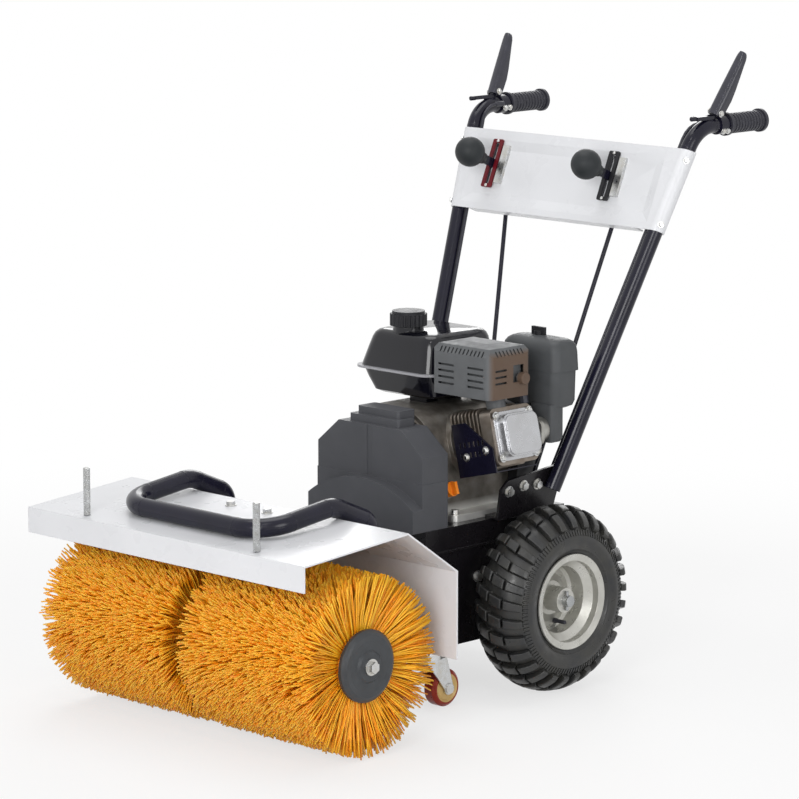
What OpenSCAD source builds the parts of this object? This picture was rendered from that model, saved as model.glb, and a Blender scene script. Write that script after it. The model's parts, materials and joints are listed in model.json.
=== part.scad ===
// Walk-behind power brush sweeper: a petrol engine on a two-wheel chassis drives a
// split rotary brush under a sheet-metal hood, with a leaning two-tube handle behind.
// Frame: +X is the machine's left side, the brush points to -Y, +Z is up and the
// ground is at Z = 0. All sizes are millimetres.

/* [Overall] */
// Length from the hood front to the ends of the grips
overall_l = 1210; // [1190:2:1230]

/* [Wheels] */
// Outer radius of a drive tyre
tyre_r = 165; // [160:1:170]
// Width of a drive tyre
tyre_w = 112; // [100:1:116]
// Gap between the chassis and a tyre
tyre_clear = 28; // [26:1:34]
// Drive axle behind the middle of the machine
axle_y = 116; // [110:1:122]
// Radius of the drive axle
axle_r = 10; // [9:0.5:12]
// Radius of the rim flange
rim_r = 85; // [82:0.5:88]
// Lugs along each edge of a tyre
lug_count = 20; // [16:1:22]
// Height of a tyre lug
lug_h = 11; // [8:0.5:12]

/* [Chassis] */
// Width of the chassis box
chassis_w = 260; // [250:2:262]
// Height of the chassis underside above the ground
chassis_low_z = 92; // [84:1:94]
// Height of the chassis box
chassis_h = 211; // [208:1:220]
// Thickness of the chassis sheet
wall_t = 4; // [3:0.5:5]
// Length of the chassis box
chassis_l = 358; // [350:2:366]

/* [Belt cover] */
// Width of the belt cover
cover_w = 258; // [244:2:258]
// Height of the cover over the chassis, up to its flat top
cover_h = 173; // [168:1:180]
// Front-to-back depth of the belt cover
cover_d = 63; // [60:1:66]
// Wall of the belt cover
cover_wall = 3.5; // [2.5:0.5:4.5]

/* [Engine] */
// Height of the crankshaft over the chassis top
crank_h = 111; // [108:1:116]
// Slant of the cylinder above level, in degrees
slant = 14; // [10:1:16]
// Width of the fuel tank
tank_w = 186; // [176:2:188]
// Height of the fuel tank
tank_h = 112; // [104:2:118]
// Width of the muffler guard
muffler_w = 140; // [132:2:144]
// Height of the muffler guard
muffler_h = 92; // [86:1:98]

/* [Brush] */
// Radius over the bristle tips
brush_r = 152; // [148:1:154]
// Gap between the bristle tips and the ground
brush_lift = 5; // [4:1:8]
// Length of each bristle section
section_l = 280; // [270:2:282]
// Radius of the drum that carries the bristles
core_r = 52; // [48:1:56]
// Bristle rings on each section
ring_count = 9; // [7:1:9]
// Bristles round each ring
ring_bristles = 24; // [20:1:24]
// Brush axle behind the hood front
brush_back = 164; // [160:1:168]

/* [Hood] */
// Width of the hood
hood_w = 680; // [676:2:700]
// Height of the lower edge of the front lip
lip_z = 308; // [306:1:312]
// Height of the front lip
lip_h = 44; // [40:1:48]
// Thickness of the hood sheet
hood_t = 3; // [2:0.5:4]
// Radius of the two hood studs
stud_r = 6; // [5:0.5:7]
// Height of the studs over the hood
stud_h = 82; // [74:1:90]
// Distance between the two studs
stud_gap = 418; // [404:2:430]

/* [Bumper] */
// Radius of the bumper tube
bumper_r = 16; // [14:0.5:17]
// Distance between the two bumper arms
bumper_gap = 352; // [340:2:360]

/* [Castors] */
// Radius of a castor wheel
castor_r = 33; // [30:1:35]
// Width of a castor wheel
castor_w = 28; // [24:1:30]
// Distance between the two castor swivels
castor_gap = 312; // [306:2:320]
// Trail of the castor wheel behind its swivel
castor_trail = 32; // [28:1:34]

/* [Handle] */
// Radius of a handle tube
tube_r = 14; // [13:0.5:15]
// Wall of a handle tube
tube_wall = 2; // [1.5:0.5:3]
// Height of the grips above the ground
grip_z = 971; // [960:1:985]
// Distance from the bend of a tube to the end of its grip
grip_reach = 174; // [170:1:178]
// Outward splay of each handle tube, in degrees
splay = 8.6; // [8:0.1:9]
// Radius of a grip
grip_r = 17; // [16.5:0.5:18]
// Length of a grip
grip_l = 100; // [94:1:104]

/* [Control panel] */
// Height of the panel's lower edge above the ground
panel_z = 789; // [780:1:794]
// Height of the panel along its slope
panel_h = 152; // [148:1:156]
// Thickness of the panel sheet
panel_t = 2.5; // [2:0.5:3]
// Radius of the lever knobs
knob_r = 27.5; // [24:0.5:29]

/* [Hidden] */
$fn = 48;

// Overrun of every cut, running fit of shafts and seat between pieces
overrun = 1;
run_fit = 0.05;
seat = 0.3;
hex_sides = 6;

// Main places
front_y = -overall_l / 2;
rear_y = overall_l / 2;
axle_z = tyre_r;
track = chassis_w + tyre_w + 2 * tyre_clear;
deck_z = chassis_low_z + chassis_h;
chassis_back = 130;
chassis_rear_y = axle_y + chassis_back;
bay_front_y = chassis_rear_y - chassis_l;
chassis_half = chassis_w / 2;
brush_y = front_y + brush_back;
brush_z = brush_r + brush_lift;
crank_z = deck_z + crank_h;

// Helpers: placing flat outlines and round bars
module along_x(length) {
  rotate([90, 0, 90]) linear_extrude(length) children();
}

module along_y(length) {
  translate([0, length, 0]) rotate([90, 0, 0]) linear_extrude(length) children();
}

module x_bar(r, length) {
  rotate([0, 90, 0]) cylinder(r = r, h = length);
}

module y_bar(r, length) {
  rotate([-90, 0, 0]) cylinder(r = r, h = length);
}

// Revolves a profile of [radius, place along the axis] round the X axis
module around_x() {
  rotate([0, 90, 0]) rotate_extrude() children();
}

// Draws its children on the left side, or mirrored on the right side
module on_side(side) {
  if (side > 0)
    children();
  else
    mirror([1, 0, 0]) children();
}

module both_sides() {
  for (side = [-1, 1])
    on_side(side) children();
}

// Rectangle with round corners, centred
module rounded_rect(w, h, r) {
  square([w - 2 * r, h], center = true);
  square([w, h - 2 * r], center = true);
  for (sx = [-1, 1], sy = [-1, 1])
    translate([sx * (w / 2 - r), sy * (h / 2 - r)]) circle(r);
}

module plate(w, h, r, t) {
  linear_extrude(t) rounded_rect(w, h, r);
}

// Outline of a folded sheet: a line of points and the same line one thickness to its right
function turn_right(d) = [d.y, -d.x];
function unit(v) = v / norm(v);
function step_dir(p, i) = unit(p[i + 1] - p[i]);
function miter(p, i, t) =
  i == 0 ? t * turn_right(step_dir(p, 0)) :
  i == len(p) - 1 ? t * turn_right(step_dir(p, i - 1)) :
  let (a = turn_right(step_dir(p, i - 1)), b = turn_right(step_dir(p, i)))
  t * (a + b) / (1 + a * b);
function sheet_outline(p, t) = concat(p, [for (i = [len(p) - 1 : -1 : 0]) p[i] + miter(p, i, t)]);

// Round bar bent along a line of points, with true bends and a fine ring over each joint
joint_rise = 0.25;
joint_l = 2;
function turn_angle(a, b) = acos(max(-1, min(1, a * b)));
function bend_at(bend_r, i) = is_list(bend_r) ? bend_r[i] : bend_r;
function bend_run(p, i, bend_r) =
  bend_at(bend_r, i) * tan(turn_angle(step_dir(p, i - 1), step_dir(p, i)) / 2);
function leg_start(p, i, bend_r) = i == 0 ? p[0] : p[i] + bend_run(p, i, bend_r) * step_dir(p, i);
function leg_end(p, i, bend_r) =
  i == len(p) - 2 ? p[i + 1] : p[i + 1] - bend_run(p, i + 1, bend_r) * step_dir(p, i);

module bar_between(a, b, r) {
  d = b - a;
  translate(a) rotate([0, acos(d.z / norm(d)), atan2(d.y, d.x)]) cylinder(r = r, h = norm(d));
}

function bend_inward(p, i) =
  let (d_in = step_dir(p, i - 1), d_out = step_dir(p, i))
  unit(d_out - (d_out * d_in) * d_in);

module bar_bend(p, i, r, bend_r) {
  d_in = step_dir(p, i - 1);
  d_out = step_dir(p, i);
  inward = bend_inward(p, i);
  up = cross(-inward, d_in);
  from = leg_end(p, i - 1, bend_r);
  to = leg_start(p, i, bend_r);
  translate(from + bend_at(bend_r, i) * inward)
    rotate([atan2(d_in.z, up.z), asin(inward.z), atan2(-inward.y, -inward.x)])
      rotate_extrude(angle = turn_angle(d_in, d_out)) translate([bend_at(bend_r, i), 0]) circle(r);
  bar_between(from - joint_l / 2 * d_in, from + joint_l / 2 * d_in, r + joint_rise);
  bar_between(to - joint_l / 2 * d_out, to + joint_l / 2 * d_out, r + joint_rise);
}

module bent_bar(p, r, bend_r) {
  for (i = [0 : len(p) - 2])
    bar_between(leg_start(p, i, bend_r), leg_end(p, i, bend_r), r);
  if (len(p) > 2)
    for (i = [1 : len(p) - 2])
      bar_bend(p, i, r, bend_r);
}

// Cord: a line of points with rounded corners, swept with flat-sided rings
cord_sides = 8;
cord_steps = 4;
function corner_points(p, i, bend_r) =
  let (
    d = step_dir(p, i - 1),
    inward = bend_inward(p, i),
    turn = turn_angle(d, step_dir(p, i)),
    centre = leg_end(p, i - 1, bend_r) + bend_r * inward
  )
  [for (k = [0 : cord_steps])
    let (a = turn * k / cord_steps)
    centre + bend_r * (sin(a) * d - cos(a) * inward)];
function cord_points(p, bend_r, head_l) = concat(
  [p[0], p[0] + head_l * step_dir(p, 0), p[0] + (head_l + joint_l) * step_dir(p, 0)],
  [for (i = [1 : len(p) - 2]) each corner_points(p, i, bend_r)],
  [p[len(p) - 1]]
);
function cord_dir(p, i) = unit(p[min(i + 1, len(p) - 1)] - p[max(i - 1, 0)]);
function across(side, d) = unit(side - (side * d) * d);
function cord_frames(p, side, i = 0) =
  i == len(p) ? [] :
  let (here = across(side, cord_dir(p, i)))
  concat([here], cord_frames(p, here, i + 1));

// The first stretch of the cord is a thicker head
module cord(p, r, bend_r, head_r, head_l, side) {
  line = cord_points(p, bend_r, head_l);
  frames = cord_frames(line, side);
  m = cord_sides;
  last = len(line) - 1;
  points = [for (i = [0 : last], k = [0 : m - 1])
    let (a = 360 * k / m, size = i < 2 ? head_r : r)
    line[i] + size * (cos(a) * frames[i] + sin(a) * cross(cord_dir(line, i), frames[i]))];
  function v(i, k) = i * m + k % m;
  polyhedron(
    points = points,
    faces = concat(
      [for (i = [0 : last - 1], k = [0 : m - 1]) [v(i, k), v(i + 1, k), v(i + 1, k + 1)]],
      [for (i = [0 : last - 1], k = [0 : m - 1]) [v(i, k), v(i + 1, k + 1), v(i, k + 1)]],
      [for (k = [1 : m - 2]) [v(0, 0), v(0, k), v(0, k + 1)]],
      [for (k = [1 : m - 2]) [v(last, 0), v(last, k + 1), v(last, k)]]
    )
  );
}

// Hexagon bolt head with its washer, standing on its seat along +Z
bolt_r = 7.5;
bolt_h = 6;
washer_r = 10;
washer_h = 1.6;

module bolt_head() {
  cylinder(r = washer_r, h = washer_h);
  translate([0, 0, washer_h]) cylinder(r = bolt_r, h = bolt_h, $fn = hex_sides);
}

// Chassis: a folded sheet box, open below, with a belt bay at its front
bay_d = 66;
bay_half = 94;
chassis_nose = 58;
chassis_nose_h = 50;
chassis_tail = 6;
chassis_tail_h = 70;
chassis_lip_z = 43;
chassis_lip = 3;
chassis_outline = [
  [bay_front_y, deck_z],
  [bay_front_y, chassis_low_z + chassis_nose_h],
  [bay_front_y + chassis_nose, chassis_low_z],
  [chassis_rear_y, chassis_low_z],
  [chassis_rear_y, deck_z - chassis_tail_h],
  [chassis_rear_y - chassis_tail, deck_z]
];
bay_rear_y = bay_front_y + bay_d;
rod_r = 4;
rod_play = 3.5;
rod_low_x = 108;
rod_back = 40;
rod_low_y = axle_y + rod_back;
far_rod_low_x = -62;
far_rod_in = 20;
far_rod_low_y = chassis_rear_y - far_rod_in;
rod_reach = 24;
cable_r = 3;
cable_play = 0.3;
cable_low_x = 122;
cable_back = 43;
cable_low_y = rod_low_y + cable_back;

module chassis() {
  color("#15171b") difference() {
    union() {
      translate([-chassis_half, 0, 0]) along_x(chassis_w) polygon(chassis_outline);
      both_sides() translate([
          chassis_half - overrun,
          bay_front_y + chassis_lip,
          deck_z - chassis_lip_z
        ])
          cube([chassis_lip + overrun, chassis_l - chassis_tail - 2 * chassis_lip, chassis_lip]);
    }
    chassis_hollow();
    // Belt opening over the bay
    translate([-bay_half, bay_front_y + wall_t, deck_z - 2 * wall_t])
      cube([2 * bay_half, bay_d - 2 * wall_t, 3 * wall_t]);
    // Axle bearings
    translate([-chassis_w, axle_y, axle_z]) x_bar(axle_r + run_fit, 2 * chassis_w);
    // Brush drive shaft through the front wall
    translate([0, bay_front_y - overrun, brush_z])
      y_bar(drive_shaft_r + run_fit, wall_t + 2 * overrun);
    // Shift rods and clutch cables through the top
    for (p = [[rod_low_x, rod_low_y], [far_rod_low_x, far_rod_low_y]])
      translate([p.x, p.y, deck_z - 2 * wall_t])
        cylinder(r = rod_r + rod_play, h = 3 * wall_t);
    for (side = [-1, 1])
      translate([side * cable_low_x, cable_low_y, deck_z - 2 * wall_t])
        cylinder(r = cable_r + cable_play, h = 3 * wall_t);
  }
}

// Space inside the chassis sheet, on both sides of the bay's rear wall
module chassis_hollow() {
  inner = chassis_half - wall_t;
  translate([-inner, 0, 0]) along_x(2 * inner) difference() {
    polygon([
      [bay_front_y + wall_t, deck_z - wall_t],
      [bay_front_y + wall_t, chassis_low_z - overrun],
      [chassis_rear_y - wall_t, chassis_low_z - overrun],
      [chassis_rear_y - wall_t, deck_z - chassis_tail_h],
      [chassis_rear_y - chassis_tail - wall_t, deck_z - wall_t]
    ]);
    translate([bay_rear_y - wall_t, chassis_low_z - 2 * overrun])
      square([wall_t, chassis_h + 4 * overrun]);
  }
}

// Belt cover: a moulded cap over the belt, with an arch over the brush pulley
cover_out = 7;
cover_front_y = bay_front_y - cover_out;
cover_z = deck_z;
cover_side_h = 130;
cover_top_w = 154;
cover_band_h = 83;
cover_band = 1;
cover_step_h = 13;
cover_step_in = 20;
cover_step_w = 120;
cover_step_r = 5;
groove_w = 14;
groove_d = 1.5;
arch_r = 215;
arch_h = 83;
arch_d = 24;
cover_bevel_share = 0.45;

function cover_outline(inset) = [
  [-cover_w / 2 + inset, 0],
  [-cover_w / 2 + inset, cover_side_h - cover_bevel_share * inset],
  [-cover_top_w / 2 + cover_bevel_share * inset, cover_h - inset],
  [cover_top_w / 2 - cover_bevel_share * inset, cover_h - inset],
  [cover_w / 2 - inset, cover_side_h - cover_bevel_share * inset],
  [cover_w / 2 - inset, 0]
];

module belt_cover() {
  color("#3f4144") translate([0, cover_front_y, cover_z]) difference() {
    union() {
      along_y(cover_d) polygon(cover_outline(cover_band));
      // Lower band stands a little proud
      translate([0, -cover_band, 0]) along_y(cover_d) intersection() {
        polygon(cover_outline(0));
        translate([-cover_w, 0]) square([2 * cover_w, cover_band_h]);
      }
      // Two stepped plates on top
      for (i = [0, 1])
        translate([0, cover_d - (cover_d - i * cover_step_in) / 2, cover_h - cover_band - overrun])
          plate(
            cover_step_w - i * cover_step_in,
            cover_d - (i + 1) * cover_step_in + i * cover_step_in,
            cover_step_r,
            (i + 1) * cover_step_h + overrun
          );
      // Arch over the brush pulley
      translate([0, -arch_d, 0]) intersection() {
        translate([0, 0, arch_h - arch_r]) y_bar(arch_r, arch_d + cover_wall);
        translate([-cover_w / 2, 0, 0]) cube([cover_w, arch_d + cover_wall, arch_h]);
      }
    }
    // Hollow, open at the back and below
    translate([0, cover_wall, -overrun]) along_y(cover_d)
      polygon(cover_outline(cover_wall + cover_band));
    translate([0, cover_wall, -overrun]) along_y(cover_d)
      translate([-cover_w / 2 + cover_wall + cover_band, 0])
        square([cover_w - 2 * (cover_wall + cover_band), cover_band_h]);
    // Moulded groove down the middle
    translate([-groove_w / 2, -overrun, cover_band_h + overrun])
      cube([groove_w, groove_d + overrun, cover_h]);
  }
}

// Boom: the tube that carries the brush head, with a saddle under the hood
drive_shaft_r = 10;
boom_r = 36;
boom_wall = 6;
boom_flange = 54;
boom_flange_t = 10;
saddle_t = 12;
saddle_w = 120;
saddle_l = 110;
saddle_plate_t = 5;
saddle_back = 18;
slack = 0.02;
beam_w = 36;
beam_t = 14;
beam_z = 103;
beam_block = 60;
case_r = 55;
case_w = 44;
case_boss_r = 26;
case_boss_l = 166;
boom_front_y = brush_y + case_boss_l;
peak_back = 237;
peak_rise = 19;
rear_back = 354;
rear_drop = 18;
rear_top_z = lip_z - rear_drop;
rear_low_z = 139;
hood_top_z = lip_z + lip_h;
peak_y = front_y + peak_back;
peak_z = hood_top_z + peak_rise;
hood_rear_y = front_y + rear_back;
hood_slope = atan(peak_rise / peak_back);
function hood_z(y) = hood_top_z + (y - front_y) * peak_rise / peak_back;

// Places its children on the hood, behind its front edge
module on_hood(x, back) {
  translate([x, front_y + back, hood_z(front_y + back)]) rotate([hood_slope, 0, 0]) children();
}

castor_out = 20;
castor_y = bay_front_y - castor_out;
beam_l = castor_gap + beam_w;
module boom() {
  saddle_low = hood_t / cos(hood_slope) + saddle_plate_t;
  rib_z = brush_z + case_r + 2 * seat;
  saddle_front_y = brush_y - saddle_l / 2;
  saddle_rear_y = brush_y + saddle_l / 2;
  color("#1b1d20") difference() {
    union() {
      translate([0, boom_front_y, brush_z]) y_bar(boom_r, bay_front_y - boom_front_y);
      for (y = [boom_front_y, bay_front_y - boom_flange_t])
        translate([0, y, brush_z]) y_bar(boom_flange, boom_flange_t);
      // Upright rib between the brush sections
      translate([-saddle_t / 2, 0, 0]) along_x(saddle_t) polygon([
        [boom_front_y, brush_z + boom_r / 2],
        [boom_front_y + saddle_back, brush_z + boom_r / 2],
        [boom_front_y + saddle_back, rib_z],
        [saddle_rear_y, hood_z(saddle_rear_y) - saddle_low],
        [saddle_front_y, hood_z(saddle_front_y) - saddle_low],
        [brush_y, rib_z],
        [boom_front_y, rib_z]
      ]);
      on_hood(0, brush_back) translate([0, 0, -hood_t - saddle_plate_t - slack])
        plate(saddle_w, saddle_l, saddle_t, saddle_plate_t);
      // Cross beam for the castors
      translate([-beam_l / 2, castor_y - beam_w / 2, beam_z]) cube([beam_l, beam_w, beam_t]);
      translate([-beam_block / 2, castor_y - beam_w / 2, beam_z])
        cube([beam_block, beam_w, brush_z - beam_z - boom_r / 2]);
    }
    for (side = [-1, 1])
      translate([side * castor_gap / 2, castor_y, beam_z - overrun])
        cylinder(r = stem_r + run_fit, h = beam_t + 2 * overrun);
    translate([0, boom_front_y - overrun, brush_z])
      y_bar(boom_r - boom_wall, bay_front_y - boom_front_y + 2 * overrun);
  }
}

// Gear case between the two brush sections
shaft_r = 12.5;
case_rib = 6;
case_rib_w = 8;
module gear_case() {
  color("#2a2c2f") translate([0, brush_y, brush_z]) difference() {
    union() {
      translate([-case_w / 2, 0, 0]) x_bar(case_r - case_rib, case_w);
      y_bar(case_boss_r, case_boss_l);
      // Joint flange of the two case halves
      translate([-case_rib_w / 2, 0, 0]) x_bar(case_r, case_rib_w);
      translate([0, case_boss_l - boom_flange_t, 0]) y_bar(boom_flange, boom_flange_t);
    }
    translate([-case_w, 0, 0]) x_bar(shaft_r + run_fit, 2 * case_w);
    translate([0, shaft_r + boom_flange_t, 0]) y_bar(drive_shaft_r + run_fit, case_boss_l);
  }
}

// Hood: one folded sheet, open at both ends
hood_notch = 8;
hood_outline = [
  [front_y, lip_z],
  [front_y, hood_top_z],
  [peak_y, peak_z],
  [hood_rear_y, rear_top_z],
  [hood_rear_y, rear_low_z]
];
stud_back = 20;
stem_r = 8;
notch_half = boom_flange + hood_notch;

module hood() {
  color("#e9eaec") difference() {
    translate([-hood_w / 2, 0, 0]) along_x(hood_w) polygon(sheet_outline(hood_outline, hood_t));
    // Arch for the boom in the rear wall
    translate([0, hood_rear_y - 2 * hood_t, brush_z]) y_bar(notch_half, 4 * hood_t);
    translate([-notch_half, hood_rear_y - 2 * hood_t, rear_low_z - overrun])
      cube([2 * notch_half, 4 * hood_t, brush_z - rear_low_z + overrun]);
    for (side = [-1, 1])
      translate([side * stud_gap / 2, front_y + stud_back, hood_top_z - lip_h])
        cylinder(r = stud_neck_r + run_fit, h = 2 * lip_h);
  }
}

// Two upright studs on the hood, each with its nut
nut_r = 10.5;
nut_h = 9;
stud_tip = 1.5;
stud_below = 12;
stud_neck_r = 5;
stud_seat = 1;
module hood_studs() {
  color("#c3c6c9")
    for (side = [-1, 1])
      translate([side * stud_gap / 2, front_y + stud_back, hood_z(front_y + stud_back)]) {
        translate([0, 0, -hood_t - stud_below])
          cylinder(r = stud_neck_r, h = hood_t + stud_below + 2 * stud_seat);
        translate([0, 0, stud_seat]) cylinder(r = stud_r, h = stud_h - stud_tip - stud_seat);
        translate([0, 0, stud_h - stud_tip])
          cylinder(r1 = stud_r, r2 = stud_r - stud_tip, h = stud_tip);
        translate([0, 0, -hood_t - nut_h - nut_r * sin(hood_slope)])
          cylinder(r = nut_r, h = nut_h, $fn = hex_sides);
      }
}

// Bumper: one bent tube over the hood, down to feet on the rear slope
bumper_back = 66;
bumper_bend_r = 62;
bumper_bend_back = 226;
bumper_lift = 8;
bumper_drop_back = 310;
foot_r = 24;
foot_t = 5;
rear_slope = atan((peak_z - rear_top_z) / (rear_back - peak_back));
function slope_z(y) = peak_z - (y - peak_y) * tan(rear_slope);
bumper_front_z = hood_z(front_y + bumper_back) + (bumper_r + seat) / cos(hood_slope);
bumper_top_z = hood_z(front_y + bumper_bend_back) + bumper_r + bumper_lift;
bumper_foot_y = front_y + bumper_drop_back;
bumper_shoulder_z = slope_z(bumper_foot_y) + 2 * bumper_r + foot_t;
bumper_half = bumper_gap / 2;
bumper_left = [
  [bumper_half, front_y + bumper_back, bumper_front_z],
  [bumper_half, front_y + bumper_bend_back, bumper_top_z],
  [bumper_half, bumper_foot_y, bumper_shoulder_z],
  [bumper_half, bumper_foot_y, slope_z(bumper_foot_y)]
];
function mirrored(p) = [-p.x, p.y, p.z];
function reversed(p) = [for (i = [len(p) - 1 : -1 : 0]) p[i]];
bumper_path = concat(reversed(bumper_left), [for (p = bumper_left) mirrored(p)]);
bumper_bend_small = 28;
bumper_bends = [
  0, bumper_bend_small, bumper_bend_r, bumper_bend_r,
  bumper_bend_r, bumper_bend_r, bumper_bend_small, 0
];

module bumper() {
  color("#141519") difference() {
    union() {
      bent_bar(bumper_path, bumper_r, bumper_bends);
      for (side = [-1, 1])
        on_slope(side * bumper_half, bumper_foot_y) cylinder(r = foot_r, h = foot_t);
    }
    // Cut flush with the slope of the hood
    for (side = [-1, 1])
      on_slope(side * bumper_half, bumper_foot_y) translate([-foot_r, -foot_r, -2 * foot_r])
        cube([2 * foot_r, 2 * foot_r, 2 * foot_r]);
  }
}

// Places its children on the rear slope of the hood, at right angles to it
module on_slope(x, y) {
  translate([x, y, slope_z(y)]) rotate([-rear_slope, 0, 0]) children();
}

// Bolts: one kind of hexagon bolt over the whole machine
hood_bolt_x = 45;
hood_bolt_l = 70;
side_bolt_z = 97;
side_bolt_y = [-100, -66];
foot_bolt_in = 13;
bracket_bolts = [[-98, 6], [-62, 12], [-26, 10]];

module bolts() {
  color("#b9bcc0") {
    for (x = [-1, 1], y = [-1, 1])
      on_hood(x * hood_bolt_x, brush_back + y * hood_bolt_l / 2) bolt_head();
    both_sides() {
        for (y = side_bolt_y)
          translate([chassis_half, axle_y + y, deck_z - side_bolt_z]) rotate([0, 90, 0])
            bolt_head();
        for (p = bracket_bolts)
          handle_plane() translate([-tube_r - seat, tube_low_y + p.x, p.y]) rotate([0, 90, 0])
            bolt_head();
      }
    for (x = [-1, 1], y = [-1, 1])
      translate([
        foot_mid_x + x * (foot_w / 2 - foot_bolt_in),
        foot_mid_y + y * (foot_l / 2 - foot_bolt_in),
        deck_z + foot_h
      ])
        bolt_head();
  }
}

// Drive axle with a retaining pin near each end
pin_r = 3;
pin_l = 34;
axle_end = 46;
hub_r = 22;
hub_out = 34;
axle_l = track + 2 * axle_end;
module axle() {
  color("#b4b7ba") translate([0, axle_y, axle_z]) {
    translate([-axle_l / 2, 0, 0]) x_bar(axle_r, axle_l);
    for (side = [-1, 1])
      translate([side * (track / 2 + hub_out + seat + pin_r), 0, -pin_l / 2])
        cylinder(r = pin_r, h = pin_l);
  }
}

// Rim: a pressed drop-centre barrel, a dished disc and a hub
rim_w = 94;
rim_t = 3;
flange_h = 10;
drop_r = 62;
seat_run = 12;
drop_run = 14;
hub_in = 30;
dish_out = 10;
dish_ring_r = 44;
dish_ring = 8;

module rim_body() {
  bead_r = rim_r - flange_h;
  half = rim_w / 2;
  color("#b8babc") difference() {
    union() {
      around_x() polygon(sheet_outline([
        [rim_r, -half],
        [bead_r, -half + rim_t],
        [bead_r, -half + rim_t + seat_run],
        [drop_r, -half + seat_run + drop_run],
        [drop_r, half - seat_run - drop_run],
        [bead_r, half - rim_t - seat_run],
        [bead_r, half - rim_t],
        [rim_r, half]
      ], -rim_t));
      // Dished disc, pressed outward in a ring
      around_x() polygon(sheet_outline([
        [hub_r - rim_t, 0],
        [hub_r + dish_ring, 0],
        [dish_ring_r, -dish_out],
        [drop_r - dish_ring, -dish_out],
        [drop_r, -dish_out + dish_ring]
      ], rim_t));
      translate([-hub_in, 0, 0]) x_bar(hub_r, hub_in + hub_out);
    }
    translate([-track, 0, 0]) x_bar(axle_r + run_fit, 2 * track);
  }
}

module rim(side) {
  on_side(side) translate([track / 2, axle_y, axle_z]) rim_body();
}

// Tyre: a round carcass with slanted lugs that wrap over its shoulders
tyre_bead = 0.4;
tyre_bead_rise = 12;
carcass_shares = [[0.30, 0.97], [0.45, 1], [0.64, 0.92], [0.82, 0.68], [0.95, 0.36], [1, 0]];
lug_w = 15;
lug_skew = 24;
lug_gap = 5;
lug_sink = 6;
lug_wrap = 46;
lug_proud = 2.5;
lug_flat = 21;
lug_drop = 26;

module tyre_body() {
  bead_r = rim_r - flange_h + tyre_bead;
  crown_r = tyre_r - lug_h;
  bead_half = rim_w / 2 - rim_t - tyre_bead;
  bead = [[bead_r, bead_half], [bead_r + tyre_bead_rise, bead_half + rim_t]];
  wall = [for (p = carcass_shares) [bead_r + p.x * (crown_r - bead_r), p.y * tyre_w / 2]];
  half = concat(bead, wall);
  color("#1a1a1b") union() {
    around_x() polygon(concat(half, [for (i = [len(half) - 2 : -1 : 0]) [half[i].x, -half[i].y]]));
    for (edge = [-1, 1], i = [0 : lug_count - 1])
      rotate([(i + edge / 4) * 360 / lug_count, 0, 0]) tyre_lug(edge, crown_r);
  }
}

// One lug: from beside the tread's middle out over the shoulder
module tyre_lug(edge, crown_r) {
  top = sqrt(tyre_r * tyre_r - lug_w * lug_w) - crown_r;
  half = tyre_w / 2;
  translate([0, 0, crown_r]) mirror([edge > 0 ? 0 : 1, 0, 0]) rotate([0, 0, lug_skew])
    rotate([90, 0, 0]) translate([0, 0, -lug_w / 2]) linear_extrude(lug_w) polygon([
      [lug_gap, -lug_sink],
      [lug_gap, top],
      [lug_flat, top],
      [half + lug_proud, -lug_drop],
      [half + lug_proud, -lug_wrap],
      [half / 2, -lug_wrap]
    ]);
}

module tyre(side) {
  on_side(side) translate([track / 2, axle_y, axle_z]) tyre_body();
}

// Valve stems in the two rims
valve_r = 3.5;
valve_base_r = 4.5;
valve_base_l = 6;
valve_l = 26;
valve_angle = -68;
module valve_stems() {
  color("#161616")
    both_sides() translate([track / 2 - dish_out + seat, axle_y, axle_z])
        rotate([valve_angle, 0, 0]) translate([0, (dish_ring_r + drop_r - dish_ring) / 2, 0]) {
          x_bar(valve_base_r, valve_base_l);
          x_bar(valve_r, valve_l);
        }
}

// Belt drive inside the cover: crank pulley, belt and brush pulley
pulley_w = 22;
groove_depth = 9;
belt_w = 12;
belt_t = 8;
crank_pulley_r = 42;
brush_pulley_r = 62;
belt_play = 0.4;
pulley_y = bay_front_y + bay_d / 2 - pulley_w / 2;
crank_shaft_r = 11;
case_gap = 4;
crank_front_y = bay_rear_y + case_gap;
crank_shaft_in = 30;

module pulley(r) {
  rotate([-90, 0, 0]) rotate_extrude() polygon([
    [0, 0],
    [r, 0],
    [r, (pulley_w - belt_w) / 2 - 2 * belt_play],
    [r - groove_depth, (pulley_w - belt_w) / 2 - belt_play],
    [r - groove_depth, (pulley_w + belt_w) / 2 + belt_play],
    [r, (pulley_w + belt_w) / 2 + 2 * belt_play],
    [r, pulley_w],
    [0, pulley_w]
  ]);
}

module crank_pulley() {
  color("#7d8083") translate([0, pulley_y, crank_z]) {
    pulley(crank_pulley_r);
    y_bar(crank_shaft_r, crank_front_y - pulley_y + crank_shaft_in);
  }
}

module brush_pulley() {
  color("#7d8083") translate([0, pulley_y, brush_z]) {
    pulley(brush_pulley_r);
    translate([0, brush_y - pulley_y + shaft_r + 2 * boom_flange_t, 0])
      y_bar(drive_shaft_r, pulley_y - brush_y - shaft_r - 2 * boom_flange_t + pulley_w / 2);
  }
}

// Flat outline round two circles, one above the other
belt_steps = 24;
function arc(r, from, to) =
  [for (i = [0 : belt_steps]) let (a = mix(from, to, i / belt_steps)) r * [cos(a), sin(a)]];
module belt_outline(low_r, high_r, rise) {
  tilt = asin((low_r - high_r) / rise);
  high = [for (p = arc(high_r, tilt, 180 - tilt)) [p.x, p.y + rise]];
  polygon(concat(high, arc(low_r, 180 - tilt, 360 + tilt)));
}

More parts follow.
